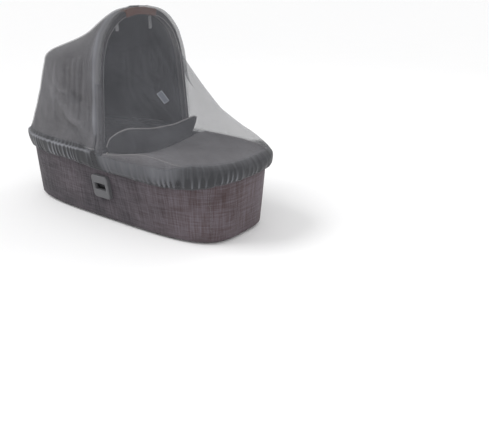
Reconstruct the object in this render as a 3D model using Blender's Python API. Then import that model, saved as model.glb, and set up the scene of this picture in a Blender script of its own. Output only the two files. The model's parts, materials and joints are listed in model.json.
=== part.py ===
"""A mosquito net stretched over a plain hooded stroller carrycot, in the shape in which it hangs.

Metres, +Z up. +X points to the foot end and -Y to the side with the zip pull.
The origin is the centre of the carrycot's flat underside.
"""

import math
import random
from typing import NamedTuple

import bmesh
import bpy
import numpy as np
from mathutils import Matrix, Vector


class Outline(NamedTuple):
    """A plan outline: two half superellipses that meet at the hoop, one to the head and one to the foot."""

    half_width: float
    head_reach: float
    foot_reach: float
    exponent: float


# Hoop, rim and tub
SEAT_GAP = 0.0004
HOOP_X = 0.020
HOOP_HALF_DEPTH = 0.013
HOOP_TOP = 0.608
HOOP_THICK_SIDE = 0.012
HOOP_THICK_TOP = 0.023
RIM_WIDEST = Outline(0.2040, 0.440, 0.400, 3.2)
TUB_TOP = Outline(0.1855, 0.4265, 0.380, 3.3)
TUB_BOTTOM = Outline(0.1605, 0.4255, 0.361, 3.8)
TUB_HEIGHT = 0.2015
TUB_WALL = 0.008
TUB_FLOOR = 0.010
TUB_EDGE_RADIUS = 0.018
RAIL_LIP_Z = 0.194
RAIL_HEIGHT = 0.0130
RAIL_OUT = 0.0045
RAIL_IN = 0.012
RAIL_BEVEL = 0.004

RAIL_TOP = TUB_HEIGHT + SEAT_GAP + RAIL_HEIGHT
HOOP_STEPS = 56

# Cloth
NET_THICK = 0.0015
HOOD_THICK = 0.0025
APRON_THICK = 0.0025
FLAP_THICK = 0.0020
CLEAR_OF_NET = 0.0020
HEM_GAP = 0.0008
PLEAT_DEPTH = 0.0065
HINGE_FOLD = 0.0040
GRIP_THICK = 0.0020
NET_TO_GRIP = NET_THICK + CLEAR_OF_NET
NET_TO_HOOP = NET_TO_GRIP + GRIP_THICK + SEAT_GAP
NET_TO_APRON = NET_TO_GRIP + 0.002

# Columns round the net: each half of the outline has this many steps
CAP_STEPS = 32
SKIRT_STEPS = 2 * CAP_STEPS

# The stretched cap, level by level: height, half width at the hoop, reach of the hood to the head,
# and exponent of the hood's plan
CAP_COLUMNS = ("z", "side", "back", "bend")
CAP_LEVELS = (
    (0.2265, 0.1990, 0.436, 3.1),
    (0.2600, 0.1890, 0.426, 3.0),
    (0.3050, 0.1850, 0.404, 2.9),
    (0.3600, 0.1795, 0.376, 2.9),
    (0.4080, 0.1750, 0.355, 2.9),
    (0.4420, 0.1712, 0.341, 2.9),
    (0.4640, 0.1677, 0.327, 2.8),
    (0.4800, 0.1643, 0.302, 2.5),
    (0.4950, 0.1597, 0.262, 2.1),
    (0.5140, 0.1525, 0.212, 1.75),
    (0.5370, 0.1425, 0.160, 1.6),
    (0.5620, 0.1230, 0.112, 1.6),
    (0.5860, 0.0950, 0.066, 1.6),
    (0.6010, 0.0600, 0.030, 1.7),
    (0.6080, 0.0180, 0.004, 2.0),
)
NET_SAG = 0.019
NET_WAIST = 0.37
NET_RIDGE = 2.2
FRONT_CLEAR = 0.0065

# The net's lower rings: inset from the widest outline and height, at the foot and at the head
SHOULDER_INSET = 0.007
SHOULDER_Z = 0.224
WIDEST_Z_FOOT = 0.210
WIDEST_Z_HEAD = 0.222
BAND_IN = 0.35
BAND_DOWN = 0.68
NEAR_EDGE_RISE = 0.026
NEAR_EDGE_CENTRE = 0.21
NEAR_EDGE_SPREAD = 0.11

# Height of the net's elastic hem, and how strongly it is gathered, from the head end to the foot end
HEM_COLUMNS = ("x", "z", "gather")
HEM_LEVELS = (
    (-0.420, 0.184, 0.8),
    (-0.250, 0.175, 1.0),
    (-0.120, 0.176, 1.0),
    (-0.050, 0.170, 0.9),
    (0.015, 0.163, 0.5),
    (0.100, 0.164, 0.15),
    (0.200, 0.160, 0.5),
    (0.320, 0.162, 1.0),
    (0.380, 0.168, 1.0),
    (0.420, 0.178, 0.8),
)

# The apron's free edge, where it is turned up into the wind flap: base and top of the flap, side to side
FLAP_COLUMNS = ("base_x", "base_y", "top_x", "top_y", "top_z")
FLAP_STATIONS = (
    (0.044, -0.174, 0.043, -0.177, 0.238),
    (0.060, -0.173, 0.058, -0.177, 0.262),
    (0.076, -0.172, 0.078, -0.177, 0.276),
    (0.108, -0.168, 0.108, -0.176, 0.293),
    (0.136, -0.155, 0.120, -0.163, 0.298),
    (0.149, -0.122, 0.125, -0.132, 0.293),
    (0.143, -0.065, 0.120, -0.063, 0.282),
    (0.126, 0.015, 0.110, 0.017, 0.275),
    (0.110, 0.085, 0.100, 0.093, 0.276),
    (0.098, 0.125, 0.090, 0.143, 0.277),
    (0.092, 0.148, 0.085, 0.160, 0.270),
)
APRON_CROWN = 0.002
APRON_DROP_Z = 0.198
APRON_EDGE = 0.003
APRON_RING_SCALES = (0.84, 0.66, 0.48, 0.30, 0.12)
HOOD_BORDER_Z = 0.204

# Leather-look grip, loops, label and fittings
GRIP_HALF_LENGTH = 0.060
GRIP_CENTRE = 0.003
LOOP_PLACES = {"near": -0.073, "far": 0.056}
LOOP_SIZE = (0.0015, 0.012, 0.036)
LOOP_TOP = 0.578
LABEL_SIZE = (0.036, 0.017, 0.0010)
LABEL_AT = (0.378, 1.20)
LABEL_SLANT = 0.15
LABEL_LIFT = 0.0009
STUD_RADIUS = 0.0045
STUD_THICK = 0.002
STUD_AT = (0.051, -0.1825)
ADAPTER_X = (-0.024, 0.044)
ADAPTER_Z = (0.080, 0.150)
ADAPTER_THICK = 0.013
ADAPTER_SLOT_X = (-0.014, 0.032)
ADAPTER_SLOT_Z = (0.106, 0.126)
ADAPTER_ROUND = 0.010

COLOURS = {
    "melange_cloth": (0.105, 0.088, 0.104),
    "hood_cloth": (0.155, 0.150, 0.160),
    "net_mesh": (0.180, 0.190, 0.215),
    "grip_leather": (0.115, 0.055, 0.040),
    "grey_plastic": (0.130, 0.130, 0.135),
    "tape": (0.290, 0.290, 0.300),
    "metal": (0.620, 0.600, 0.570),
}


def clear_scene():
    for thing in list(bpy.data.objects):
        bpy.data.objects.remove(thing, do_unlink=True)


def finish(name, roughness, metallic=0.0, alpha=1.0):
    """One Principled material in a colour of COLOURS."""
    material = bpy.data.materials.get(name) or bpy.data.materials.new(name)
    material.use_nodes = True
    shader = material.node_tree.nodes["Principled BSDF"]
    shader.inputs["Base Color"].default_value = (*COLOURS[name], 1.0)
    shader.inputs["Roughness"].default_value = roughness
    shader.inputs["Metallic"].default_value = metallic
    shader.inputs["Alpha"].default_value = alpha
    return material


def face_away(model, middle=(0.0, 0.0, 0.12)):
    """Turns a sheet's faces to point away from the middle of the carrycot."""
    bmesh.ops.recalc_face_normals(model, faces=model.faces)
    outward = sum(face.normal.dot(face.calc_center_median() - Vector(middle)) for face in model.faces)
    if outward < 0:
        bmesh.ops.reverse_faces(model, faces=model.faces)
    model.normal_update()


def add_object(name, model, material):
    """Puts a mesh into the scene as a named sub-part, shaded smooth over its soft edges."""
    mesh = bpy.data.meshes.new(name)
    model.to_mesh(mesh)
    model.free()
    mesh.materials.append(material)
    mesh.shade_smooth()
    mesh.set_sharp_from_angle(angle=math.radians(40))
    thing = bpy.data.objects.new(name, mesh)
    bpy.context.scene.collection.objects.link(thing)
    return thing


def add_body(name, model, material):
    """Adds a closed body, its faces pointing out."""
    bmesh.ops.recalc_face_normals(model, faces=model.faces)
    return add_object(name, model, material)


def add_sheet(name, model, material, thickness, offset=-1.0):
    """Adds a sheet as one closed body: -1 thickens it to the inner side of the drawn surface."""
    face_away(model)
    thing = add_object(name, model, material)
    solidify = thing.modifiers.new("Thickness", "SOLIDIFY")
    solidify.thickness = thickness
    solidify.offset = offset
    return thing


def read(table, columns, wanted, at, by):
    """The wanted column of a table, read in a straight line between its rows."""
    rows = sorted(table, key=lambda row: row[columns.index(by)])
    places = [row[columns.index(by)] for row in rows]
    values = [row[columns.index(wanted)] for row in rows]
    return float(np.interp(at, places, values))


def ease(value):
    value = min(max(value, 0.0), 1.0)
    return value * value * (3.0 - 2.0 * value)


def power(value, exponent):
    return math.copysign(abs(value) ** exponent, value)


def even_turns(outline, steps):
    """Turns from the near side over the end to the far side that space the outline's points evenly."""
    turns = np.linspace(0.0, math.pi, 2001)
    along = outline.foot_reach * np.sin(turns) ** (2 / outline.exponent)
    across = -outline.half_width * np.sign(np.cos(turns)) * np.abs(np.cos(turns)) ** (2 / outline.exponent)
    length = np.concatenate([[0.0], np.cumsum(np.hypot(np.diff(along), np.diff(across)))])
    return [float(t) for t in np.interp(np.linspace(0.0, length[-1], steps + 1), length, turns)]


def outline_point(outline, turn, end):
    """A plan point. end is +1 on the foot half and -1 on the head half."""
    reach = outline.foot_reach if end > 0 else outline.head_reach
    along = reach * abs(math.sin(turn)) ** (2 / outline.exponent)
    across = outline.half_width * power(math.cos(turn), 2 / outline.exponent)
    return HOOP_X + end * (HOOP_HALF_DEPTH + along), -across


def whole_round(steps):
    """(turn, end) pairs once round: over the foot from near to far, then back over the head."""
    turns = even_turns(RIM_WIDEST, steps)
    return [(turn, 1) for turn in turns] + [(turn, -1) for turn in reversed(turns)]


def grown(outline, amount):
    return Outline(
        outline.half_width + amount,
        outline.head_reach + amount,
        outline.foot_reach + amount,
        outline.exponent,
    )


def between(low, high, share):
    return Outline(*(a + (b - a) * share for a, b in zip(low, high)))


def tub_at(z):
    return between(TUB_BOTTOM, TUB_TOP, z / TUB_HEIGHT)


def ring(outline, z, pairs):
    return [Vector((*outline_point(outline, turn, end), z)) for turn, end in pairs]


def skin(rings, closed_round=True, cap_first=False, cap_last=False):
    """A bmesh skinned through rings that may halve their number of points from one to the next."""
    model = bmesh.new()
    rows = [[model.verts.new(point) for point in points] for points in rings]
    for low, high in zip(rows, rows[1:]):
        step = len(low) // len(high)
        count = len(high) if closed_round else len(high) - 1
        for index in range(count):
            after = (index + 1) % len(high)
            edge = [low[(index * step + k) % len(low)] for k in range(step + 1)]
            model.faces.new([*edge, high[after], high[index]])
    if cap_first:
        model.faces.new(list(reversed(rows[0])))
    if cap_last:
        model.faces.new(rows[-1])
    return model


def make_tub(material):
    """The cloth-covered tub: slanting walls, a rounded lower edge and a floor."""
    pairs = whole_round(CAP_STEPS)
    rings = []
    for quarter in range(4):
        angle = math.radians(30 * quarter)
        inset = TUB_EDGE_RADIUS * (1.0 - math.sin(angle))
        z = TUB_EDGE_RADIUS * (1.0 - math.cos(angle))
        rings.append(ring(grown(tub_at(z), -inset), z, pairs))
    for z in (TUB_HEIGHT / 2, TUB_HEIGHT):
        rings.append(ring(tub_at(z), z, pairs))
    for z in (TUB_HEIGHT, TUB_FLOOR + 0.014):
        rings.append(ring(grown(tub_at(z), -TUB_WALL), z, pairs))
    rings.append(ring(grown(tub_at(TUB_FLOOR), -TUB_WALL - 0.012), TUB_FLOOR, pairs))
    return add_body("tub", skin(rings, cap_first=True, cap_last=True), material)


def make_rail(material):
    """The rim rail: it lies on the tub's top edge, and its lip hangs down outside the wall."""
    pairs = whole_round(CAP_STEPS)
    seat = TUB_HEIGHT + SEAT_GAP
    profile = (
        (RAIL_OUT, RAIL_LIP_Z),
        (RAIL_OUT, RAIL_TOP - RAIL_BEVEL),
        (RAIL_OUT - RAIL_BEVEL, RAIL_TOP),
        (-RAIL_IN + RAIL_BEVEL, RAIL_TOP),
        (-RAIL_IN, RAIL_TOP - RAIL_BEVEL),
        (-RAIL_IN, seat),
        (SEAT_GAP, seat),
        (SEAT_GAP, RAIL_LIP_Z),
    )
    rings = [ring(grown(TUB_TOP, out), z, pairs) for out, z in profile]
    model = skin([*rings, rings[0]])
    bmesh.ops.remove_doubles(model, verts=model.verts, dist=1e-6)
    return add_body("rim", model, material)


def hoop_arch():
    """The hoop's line on the net, from foot to foot in the YZ plane, with unit vectors square to it, inwards."""
    half = np.array([(row[1], row[0]) for row in CAP_LEVELS] + [(0.0, HOOP_TOP)])
    arch = np.concatenate([half * (-1, 1), half[::-1][1:]])
    length = np.concatenate([[0.0], np.cumsum(np.hypot(*np.diff(arch, axis=0).T))])
    even = np.linspace(0.0, length[-1], HOOP_STEPS + 1)
    arch = np.stack([np.interp(even, length, arch[:, 0]), np.interp(even, length, arch[:, 1])], 1)
    slope = np.gradient(arch, axis=0)
    slope /= np.linalg.norm(slope, axis=1)[:, None]
    return arch, np.stack([slope[:, 1], -slope[:, 0]], 1)


def hoop_section(point, square, outer, inner, half_depth, corner=0.003):
    """Eight points round the hoop's section, at one place on its arch."""
    marks = (
        (-half_depth, outer + corner),
        (-half_depth + corner, outer),
        (half_depth - corner, outer),
        (half_depth, outer + corner),
        (half_depth, inner - corner),
        (half_depth - corner, inner),
        (-half_depth + corner, inner),
        (-half_depth, inner - corner),
    )
    return [Vector((HOOP_X + x, *(point + square * depth))) for x, depth in marks]


def hoop_thickness(z):
    share = ease((z - 0.50) / (HOOP_TOP - 0.50))
    return HOOP_THICK_SIDE + (HOOP_THICK_TOP - HOOP_THICK_SIDE) * share


def make_hoop(material):
    """The hood's front hoop, standing on the rim rail."""
    arch, square = hoop_arch()
    sections = []
    for point, inward in zip(arch, square):
        outer = NET_TO_HOOP
        inner = outer + hoop_thickness(point[1])
        sections.append(hoop_section(point, inward, outer, inner, HOOP_HALF_DEPTH))
    foot = RAIL_TOP + SEAT_GAP
    for corner in sections[0] + sections[-1]:
        corner.z = foot
    return add_body("hoop", skin(sections, cap_first=True, cap_last=True), material)


def make_grip(material):
    """The leather-look sleeve sewn round the top of the hoop."""
    arch, square = hoop_arch()
    chosen = [k for k in range(len(arch)) if abs(arch[k][0] - GRIP_CENTRE) <= GRIP_HALF_LENGTH]
    outside, inside = [], []
    for k in chosen:
        thick = hoop_thickness(arch[k][1])
        depth = HOOP_HALF_DEPTH + SEAT_GAP
        far = NET_TO_HOOP + thick + SEAT_GAP
        inside.append(hoop_section(arch[k], square[k], NET_TO_HOOP - SEAT_GAP, far, depth))
        outside.append(
            hoop_section(arch[k], square[k], NET_TO_GRIP, far + GRIP_THICK, depth + GRIP_THICK, 0.004)
        )
    rings = outside + inside[::-1] + [outside[0]]
    model = skin(rings)
    bmesh.ops.remove_doubles(model, verts=model.verts, dist=1e-7)
    return add_body("grip", model, material)


def cap_point(level, turn, end):
    """A point of the net's outer surface on one level of the cap."""
    z, side, back, bend = level
    share = (z - CAP_LEVELS[0][0]) / (HOOP_TOP + 0.004 - CAP_LEVELS[0][0])
    if end > 0:
        exponent = RIM_WIDEST.exponent
        rim_share = abs(math.sin(turn)) ** (2 / exponent)
        on_chord = share + (1.0 - share) * rim_share
        narrow = max(1.0 - on_chord**exponent, 0.0) / (1.0 - share**exponent)
        out = narrow ** (1 / exponent)
        across = side * math.copysign(out, math.cos(turn))
        sag = 6.75 * NET_SAG * share**2 * (1.0 - share)
        reach = (RIM_WIDEST.foot_reach - SHOULDER_INSET) * (1.0 - share) - sag
        rim_like = max(1.0 - out**exponent, 0.0) ** (1 / exponent)
        tent_like = (1.0 - out**2) ** NET_RIDGE
        waist = ease(share / NET_WAIST)
        along = reach * (rim_like + (tent_like - rim_like) * waist)
        along += FRONT_CLEAR * min(1.0, 20.0 * share) * (1.0 - rim_share**2)
    else:
        along = back * abs(math.sin(turn)) ** (2 / bend)
        across = side * power(math.cos(turn), 2 / bend)
    x = HOOP_X + end * (HOOP_HALF_DEPTH + along)
    low = (1.0 - share) ** 6
    return Vector((x, -across, z + low * near_edge_rise(x, -across)))


def near_edge_rise(x, y):
    """How much higher the apron and the net ride along the near edge."""
    hump = math.exp(-(((x - NEAR_EDGE_CENTRE) / NEAR_EDGE_SPREAD) ** 2))
    return NEAR_EDGE_RISE * hump * max(-y, 0.0) / RIM_WIDEST.half_width


def widest_ring(pairs):
    """The net's widest line, round the rim rail."""
    points = []
    for turn, end in pairs:
        x, y = outline_point(RIM_WIDEST, turn, end)
        foot = ease((x + 0.02) / 0.12)
        z = WIDEST_Z_HEAD + (WIDEST_Z_FOOT - WIDEST_Z_HEAD) * foot
        points.append(Vector((x, y, z + near_edge_rise(x, y))))
    return points


def square_to(points):
    """Outward unit vectors in plan, one for each point of a closed ring that runs anticlockwise."""
    normals = []
    for index, point in enumerate(points):
        chord = points[(index + 1) % len(points)] - points[index - 1]
        normals.append(Vector((chord.y, -chord.x, 0.0)).normalized())
    return normals


def pleats(count):
    """Uneven gathers: 0 in each valley, up to 1 on each crest, three columns to a pleat."""
    draw = random.Random(11)
    heights = [0.55 + 0.45 * draw.random() for _ in range(count // 3 + 1)]
    shape = (0.0, 0.75, 1.0)
    return [shape[index % 3] * heights[index // 3] for index in range(count)]


def hem_ring(pairs):
    """The elastic hem, which grips the tub's wall in its valleys."""
    gathers = pleats(len(pairs))
    points = []
    for turn, end in pairs:
        x, _ = outline_point(RIM_WIDEST, turn, end)
        z = read(HEM_LEVELS, HEM_COLUMNS, "z", x, "x")
        points.append(Vector((*outline_point(tub_at(z), turn, end), z)))
    hem = []
    for point, out, gather in zip(points, square_to(points), gathers):
        strength = read(HEM_LEVELS, HEM_COLUMNS, "gather", point.x, "x")
        hem.append(point + out * (HEM_GAP + NET_THICK + PLEAT_DEPTH * strength * gather))
    return hem


def band_ring(widest, hem, pairs):
    """Halfway down the skirt, where the gathers are still shallow."""
    band = [high.lerp(low, BAND_IN) for high, low in zip(widest, hem)]
    for point, high, low in zip(band, widest, hem):
        point.z = high.z + (low.z - high.z) * BAND_DOWN
    for point, (turn, end) in zip(band, pairs):
        if abs(math.sin(turn)) < 0.02 and point.y < 0 and end > 0:
            point.y += HINGE_FOLD
    return band


def net_rings():
    """Every ring of the net's outer surface, from the hem to the top of the hoop."""
    fine = whole_round(SKIRT_STEPS)
    coarse = whole_round(CAP_STEPS)
    widest = widest_ring(fine)
    hem = hem_ring(fine)
    rings = [hem, band_ring(widest, hem, fine), widest]
    rings += [[cap_point(level, turn, end) for turn, end in coarse] for level in CAP_LEVELS]
    return rings


def make_net(material):
    """The mosquito net, one sheet from the top of the hoop to its gathered hem."""
    return add_sheet("net", skin_halving(net_rings()), material, NET_THICK)


def skin_halving(rings):
    """Skins the net's rings. Where the columns halve, each half of the outline keeps its own ends."""
    model = bmesh.new()
    rows = [[model.verts.new(point) for point in points] for points in rings]
    for low, high in zip(rows, rows[1:]):
        if len(low) == len(high):
            for index in range(len(high)):
                after = (index + 1) % len(high)
                model.faces.new([low[index], low[after], high[after], high[index]])
            continue
        half_low, half_high = len(low) // 2, len(high) // 2
        for half in (0, 1):
            for index in range(half_high - 1):
                start = half * half_low + 2 * index
                top = half * half_high + index
                model.faces.new([low[start], low[start + 1], high[top]])
                model.faces.new([low[start + 1], low[start + 2], high[top + 1], high[top]])
            end_low = (half + 1) * half_low % len(low)
            end_high = (half + 1) * half_high % len(high)
            model.faces.new([low[end_low - 1], low[end_low], high[end_high], high[end_high - 1]])
    model.faces.new(rows[-1])
    return model


def make_hood(material):
    """The hood's cloth, behind the hoop and under the net, with a border that hangs outside the rim rail."""
    turns = even_turns(RIM_WIDEST, CAP_STEPS)
    border = grown(TUB_TOP, RAIL_OUT + SEAT_GAP + HOOD_THICK)
    rows = []
    for z in (HOOD_BORDER_Z, RAIL_TOP):
        rows.append([Vector((*outline_point(border, turn, -1), z)) for turn in turns])
    for level in CAP_LEVELS[:-1]:
        rows.append([cap_point(level, turn, -1) for turn in turns])
    model = skin(rows, closed_round=False)
    model.verts.ensure_lookup_table()
    first = (len(rows) - 1) * len(turns)
    model.faces.new([model.verts[first + k] for k in range(len(turns))])
    face_away(model)
    inward = [vert.normal * -NET_TO_GRIP for vert in model.verts]
    for vert, move in zip(list(model.verts)[2 * len(turns):], inward[2 * len(turns):]):
        vert.co += move
    for vert in list(model.verts)[first:]:
        vert.co.z -= NET_THICK
    for vert in model.verts:
        vert.co.x = min(vert.co.x, HOOP_X - HOOP_HALF_DEPTH - GRIP_THICK - 2 * SEAT_GAP - HOOD_THICK)
    return add_sheet("hood", model, material, HOOD_THICK)


def apron_edge_x(y):
    """Where the apron's free edge runs, from side to side."""
    return read(FLAP_STATIONS, FLAP_COLUMNS, "base_x", y, "base_y") - APRON_EDGE


def turn_at(outline, x):
    """The turn at which the foot half of an outline reaches a place along the carrycot."""
    share = (x - HOOP_X - HOOP_HALF_DEPTH) / outline.foot_reach
    return math.asin(min(max(share, 0.0), 1.0) ** (outline.exponent / 2))


def apron_top(x, y):
    """Height of the apron's upper face, crowned in the middle."""
    inner = grown(RIM_WIDEST, -SHOULDER_INSET - NET_TO_APRON)
    along = max(x - HOOP_X - HOOP_HALF_DEPTH, 0.0) / inner.foot_reach
    across = abs(y) / inner.half_width
    out = min((along**inner.exponent + across**inner.exponent) ** (1 / inner.exponent), 1.0)
    return SHOULDER_Z - NET_TO_APRON + APRON_CROWN * (1.0 - out**2) + near_edge_rise(x, y) * out


def join_halves(model, rows, columns):
    """Closes the middle of a skin: the near half of its last row is joined to the far half."""
    model.verts.ensure_lookup_table()
    last = model.verts[(rows - 1) * columns:]
    for index in range(columns // 2):
        across = columns - 1 - index
        corners = [last[index], last[index + 1], last[across - 1], last[across]]
        model.faces.new(list(dict.fromkeys(corners)))


def make_apron(material):
    """The cloth apron over the foot half: a crowned top that turns down over the rim rail."""
    turns = even_turns(RIM_WIDEST, CAP_STEPS)
    drop = grown(TUB_TOP, RAIL_OUT + SEAT_GAP + APRON_THICK)
    widest = grown(RIM_WIDEST, -NET_TO_APRON)
    shoulder = grown(widest, -SHOULDER_INSET)
    lines = [(drop, APRON_DROP_Z), (widest, WIDEST_Z_FOOT), (shoulder, None)]
    for scale in APRON_RING_SCALES:
        lines.append((grown(shoulder, -shoulder.half_width * (1.0 - scale)), None))
    rows = []
    for outline, z in lines:
        row = []
        first = turn_at(outline, apron_edge_x(-outline.half_width))
        last = math.pi - turn_at(outline, apron_edge_x(outline.half_width))
        for turn in turns:
            x, y = outline_point(outline, first + (last - first) * turn / math.pi, 1)
            height = apron_top(x, y) if z is None else z + near_edge_rise(x, y) * (z > APRON_DROP_Z)
            row.append(Vector((x, y, height)))
        rows.append(row)
    model = skin(rows, closed_round=False)
    join_halves(model, len(rows), len(turns))
    return add_sheet("apron", model, material, APRON_THICK)


def make_flap(material):
    """The wind flap that stands up along the apron's free edge, its corners higher than its middle."""
    rows = [[], []]
    for base_x, base_y, top_x, top_y, top_z in FLAP_STATIONS:
        rows[0].append(Vector((base_x, base_y, apron_top(base_x, base_y) + 2 * SEAT_GAP)))
        rows[1].append(Vector((top_x, top_y, top_z)))
    middle = [low.lerp(high, 0.5) + Vector((0.003, 0.0, 0.0)) for low, high in zip(*rows)]
    model = skin([rows[0], middle, rows[1]], closed_round=False)
    return add_sheet("apron_flap", model, material, FLAP_THICK, offset=0.0)


def box(name, size, centre, material, turn=None, bevel=0.0):
    """A small block, turned by a matrix before it is placed, with its edges rounded."""
    model = bmesh.new()
    bmesh.ops.create_cube(model, size=1.0)
    bmesh.ops.scale(model, vec=Vector(size), verts=model.verts)
    if bevel:
        bmesh.ops.bevel(model, geom=model.edges, offset=bevel, segments=1, affect="EDGES")
    if turn is not None:
        bmesh.ops.rotate(model, cent=Vector((0, 0, 0)), matrix=turn, verts=model.verts)
    bmesh.ops.translate(model, vec=Vector(centre), verts=model.verts)
    return add_body(name, model, material)


def make_loops(material):
    """Two short tape loops sewn to the back of the hoop, beside the grip."""
    for side, y in LOOP_PLACES.items():
        x = HOOP_X - HOOP_HALF_DEPTH - SEAT_GAP - LOOP_SIZE[0] / 2
        box(f"hood_loop_{side}", LOOP_SIZE, (x, y, LOOP_TOP - LOOP_SIZE[2] / 2), material)


def make_label(material):
    """The blank tape label sewn flat on the net's near slope."""
    level_z, turn = LABEL_AT
    level = tuple(float(np.interp(level_z, [row[0] for row in CAP_LEVELS], column))
                  for column in zip(*CAP_LEVELS))
    here = cap_point(level, turn, 1)
    lower = tuple(float(np.interp(level_z - 0.01, [row[0] for row in CAP_LEVELS], column))
                  for column in zip(*CAP_LEVELS))
    down = (cap_point(lower, turn, 1) - here).normalized()
    along = (cap_point(level, turn + 0.02, 1) - here).normalized()
    out = down.cross(along).normalized()
    if out.y > 0:
        out = -out
    across = out.cross(down).normalized()
    turned = Matrix((down, across, out)).transposed() @ Matrix.Rotation(LABEL_SLANT, 3, "Z")
    centre = here + out * (LABEL_LIFT + LABEL_SIZE[2] / 2)
    box("net_label", LABEL_SIZE, centre, material, turned)


def make_adapter(side, material):
    """One mounting plate on the tub's wall, with a slot that is open to the outside."""
    model = bmesh.new()
    low_x, high_x = ADAPTER_X
    low_z, high_z = ADAPTER_Z
    corner = ADAPTER_ROUND
    plate = ((low_x + corner, low_z), (high_x - corner, low_z), (high_x, low_z + corner),
             (high_x, high_z - corner), (high_x - corner, high_z), (low_x + corner, high_z),
             (low_x, high_z - corner), (low_x, low_z + corner))
    slot_low_x, slot_high_x = ADAPTER_SLOT_X
    slot_low_z, slot_high_z = ADAPTER_SLOT_Z
    bit = 0.003
    slot = ((slot_low_x + bit, slot_low_z), (slot_high_x - bit, slot_low_z), (slot_high_x, slot_low_z + bit),
            (slot_high_x, slot_high_z - bit), (slot_high_x - bit, slot_high_z), (slot_low_x + bit, slot_high_z),
            (slot_low_x, slot_high_z - bit), (slot_low_x, slot_low_z + bit))
    faces = []
    for depth in (SEAT_GAP, SEAT_GAP + ADAPTER_THICK):
        loops = []
        for loop in (plate, slot):
            loops.append([model.verts.new((x, side * (tub_at(z).half_width + depth), z)) for x, z in loop])
        faces.append(loops)
    (back_plate, back_slot), (front_plate, front_slot) = faces
    for index in range(8):
        after = (index + 1) % 8
        model.faces.new([back_plate[index], back_plate[after], front_plate[after], front_plate[index]])
        model.faces.new([back_slot[index], back_slot[after], front_slot[after], front_slot[index]])
        model.faces.new([back_plate[index], back_plate[after], back_slot[after], back_slot[index]])
        model.faces.new([front_plate[index], front_plate[after], front_slot[after], front_slot[index]])
    name = "adapter_near" if side < 0 else "adapter_far"
    return add_body(name, model, material)


def make_stud(material):
    """The small ring-shaped press stud at the near foot of the wind flap."""
    model = bmesh.new()
    bmesh.ops.create_cone(model, cap_ends=True, segments=12, radius1=STUD_RADIUS, radius2=STUD_RADIUS * 0.8,
                          depth=STUD_THICK)
    x, y = STUD_AT
    height = apron_top(x, y) + SEAT_GAP + STUD_THICK / 2
    bmesh.ops.translate(model, vec=Vector((x, y, height)), verts=model.verts)
    return add_body("flap_stud", model, material)


def build():
    clear_scene()
    cloth = finish("melange_cloth", 0.95)
    hood_cloth = finish("hood_cloth", 0.95)
    mesh = finish("net_mesh", 0.85, alpha=0.45)
    leather = finish("grip_leather", 0.55)
    plastic = finish("grey_plastic", 0.6)
    make_tub(cloth)
    make_rail(plastic)
    make_hoop(hood_cloth)
    make_grip(leather)
    make_hood(hood_cloth)
    make_net(mesh)
    make_apron(hood_cloth)
    make_flap(hood_cloth)
    tape = finish("tape", 0.8)
    make_loops(tape)
    make_label(tape)
    make_stud(finish("metal", 0.35, metallic=1.0))
    for side in (-1, 1):
        make_adapter(side, plastic)


build()
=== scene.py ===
"""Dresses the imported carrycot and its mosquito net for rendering.

The net is a sheer mesh sheet stretched from the top of a raised hood's front hoop to a gathered
elastic hem under the carrycot's rim. Under it are the hood, an apron with a wind flap, and the
cloth-covered tub. Metres, +Z up, +X to the foot end, -Y to the near side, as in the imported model.
"""

from __future__ import annotations

import json
import logging
import math
import random
from dataclasses import dataclass
from enum import Enum
from typing import Callable, Iterable, NamedTuple, Sequence

import bmesh
import bpy
import numpy as np
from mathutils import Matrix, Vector

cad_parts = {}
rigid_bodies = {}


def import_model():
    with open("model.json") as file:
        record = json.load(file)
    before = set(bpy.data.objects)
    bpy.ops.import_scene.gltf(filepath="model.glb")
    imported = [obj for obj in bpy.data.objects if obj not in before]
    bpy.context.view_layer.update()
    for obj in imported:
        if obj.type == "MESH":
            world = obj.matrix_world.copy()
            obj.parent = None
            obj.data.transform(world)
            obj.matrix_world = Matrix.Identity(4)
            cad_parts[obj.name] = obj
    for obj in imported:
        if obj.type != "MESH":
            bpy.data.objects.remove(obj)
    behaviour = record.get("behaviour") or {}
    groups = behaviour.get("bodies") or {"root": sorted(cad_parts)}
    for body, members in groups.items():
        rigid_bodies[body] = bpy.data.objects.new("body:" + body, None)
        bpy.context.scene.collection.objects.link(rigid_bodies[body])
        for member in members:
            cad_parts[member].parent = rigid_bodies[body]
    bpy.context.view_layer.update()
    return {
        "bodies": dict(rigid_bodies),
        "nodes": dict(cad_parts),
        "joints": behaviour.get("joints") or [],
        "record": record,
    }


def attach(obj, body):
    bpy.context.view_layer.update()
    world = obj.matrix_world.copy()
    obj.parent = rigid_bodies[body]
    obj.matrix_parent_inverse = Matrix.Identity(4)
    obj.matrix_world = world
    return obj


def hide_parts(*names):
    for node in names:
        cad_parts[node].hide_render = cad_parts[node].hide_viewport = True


log = logging.getLogger("carrycot")
COT_MIDDLE = Vector((0.0, 0.0, 0.12))
Array = np.ndarray
Colour = tuple[float, float, float]


# Shader maths


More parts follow.
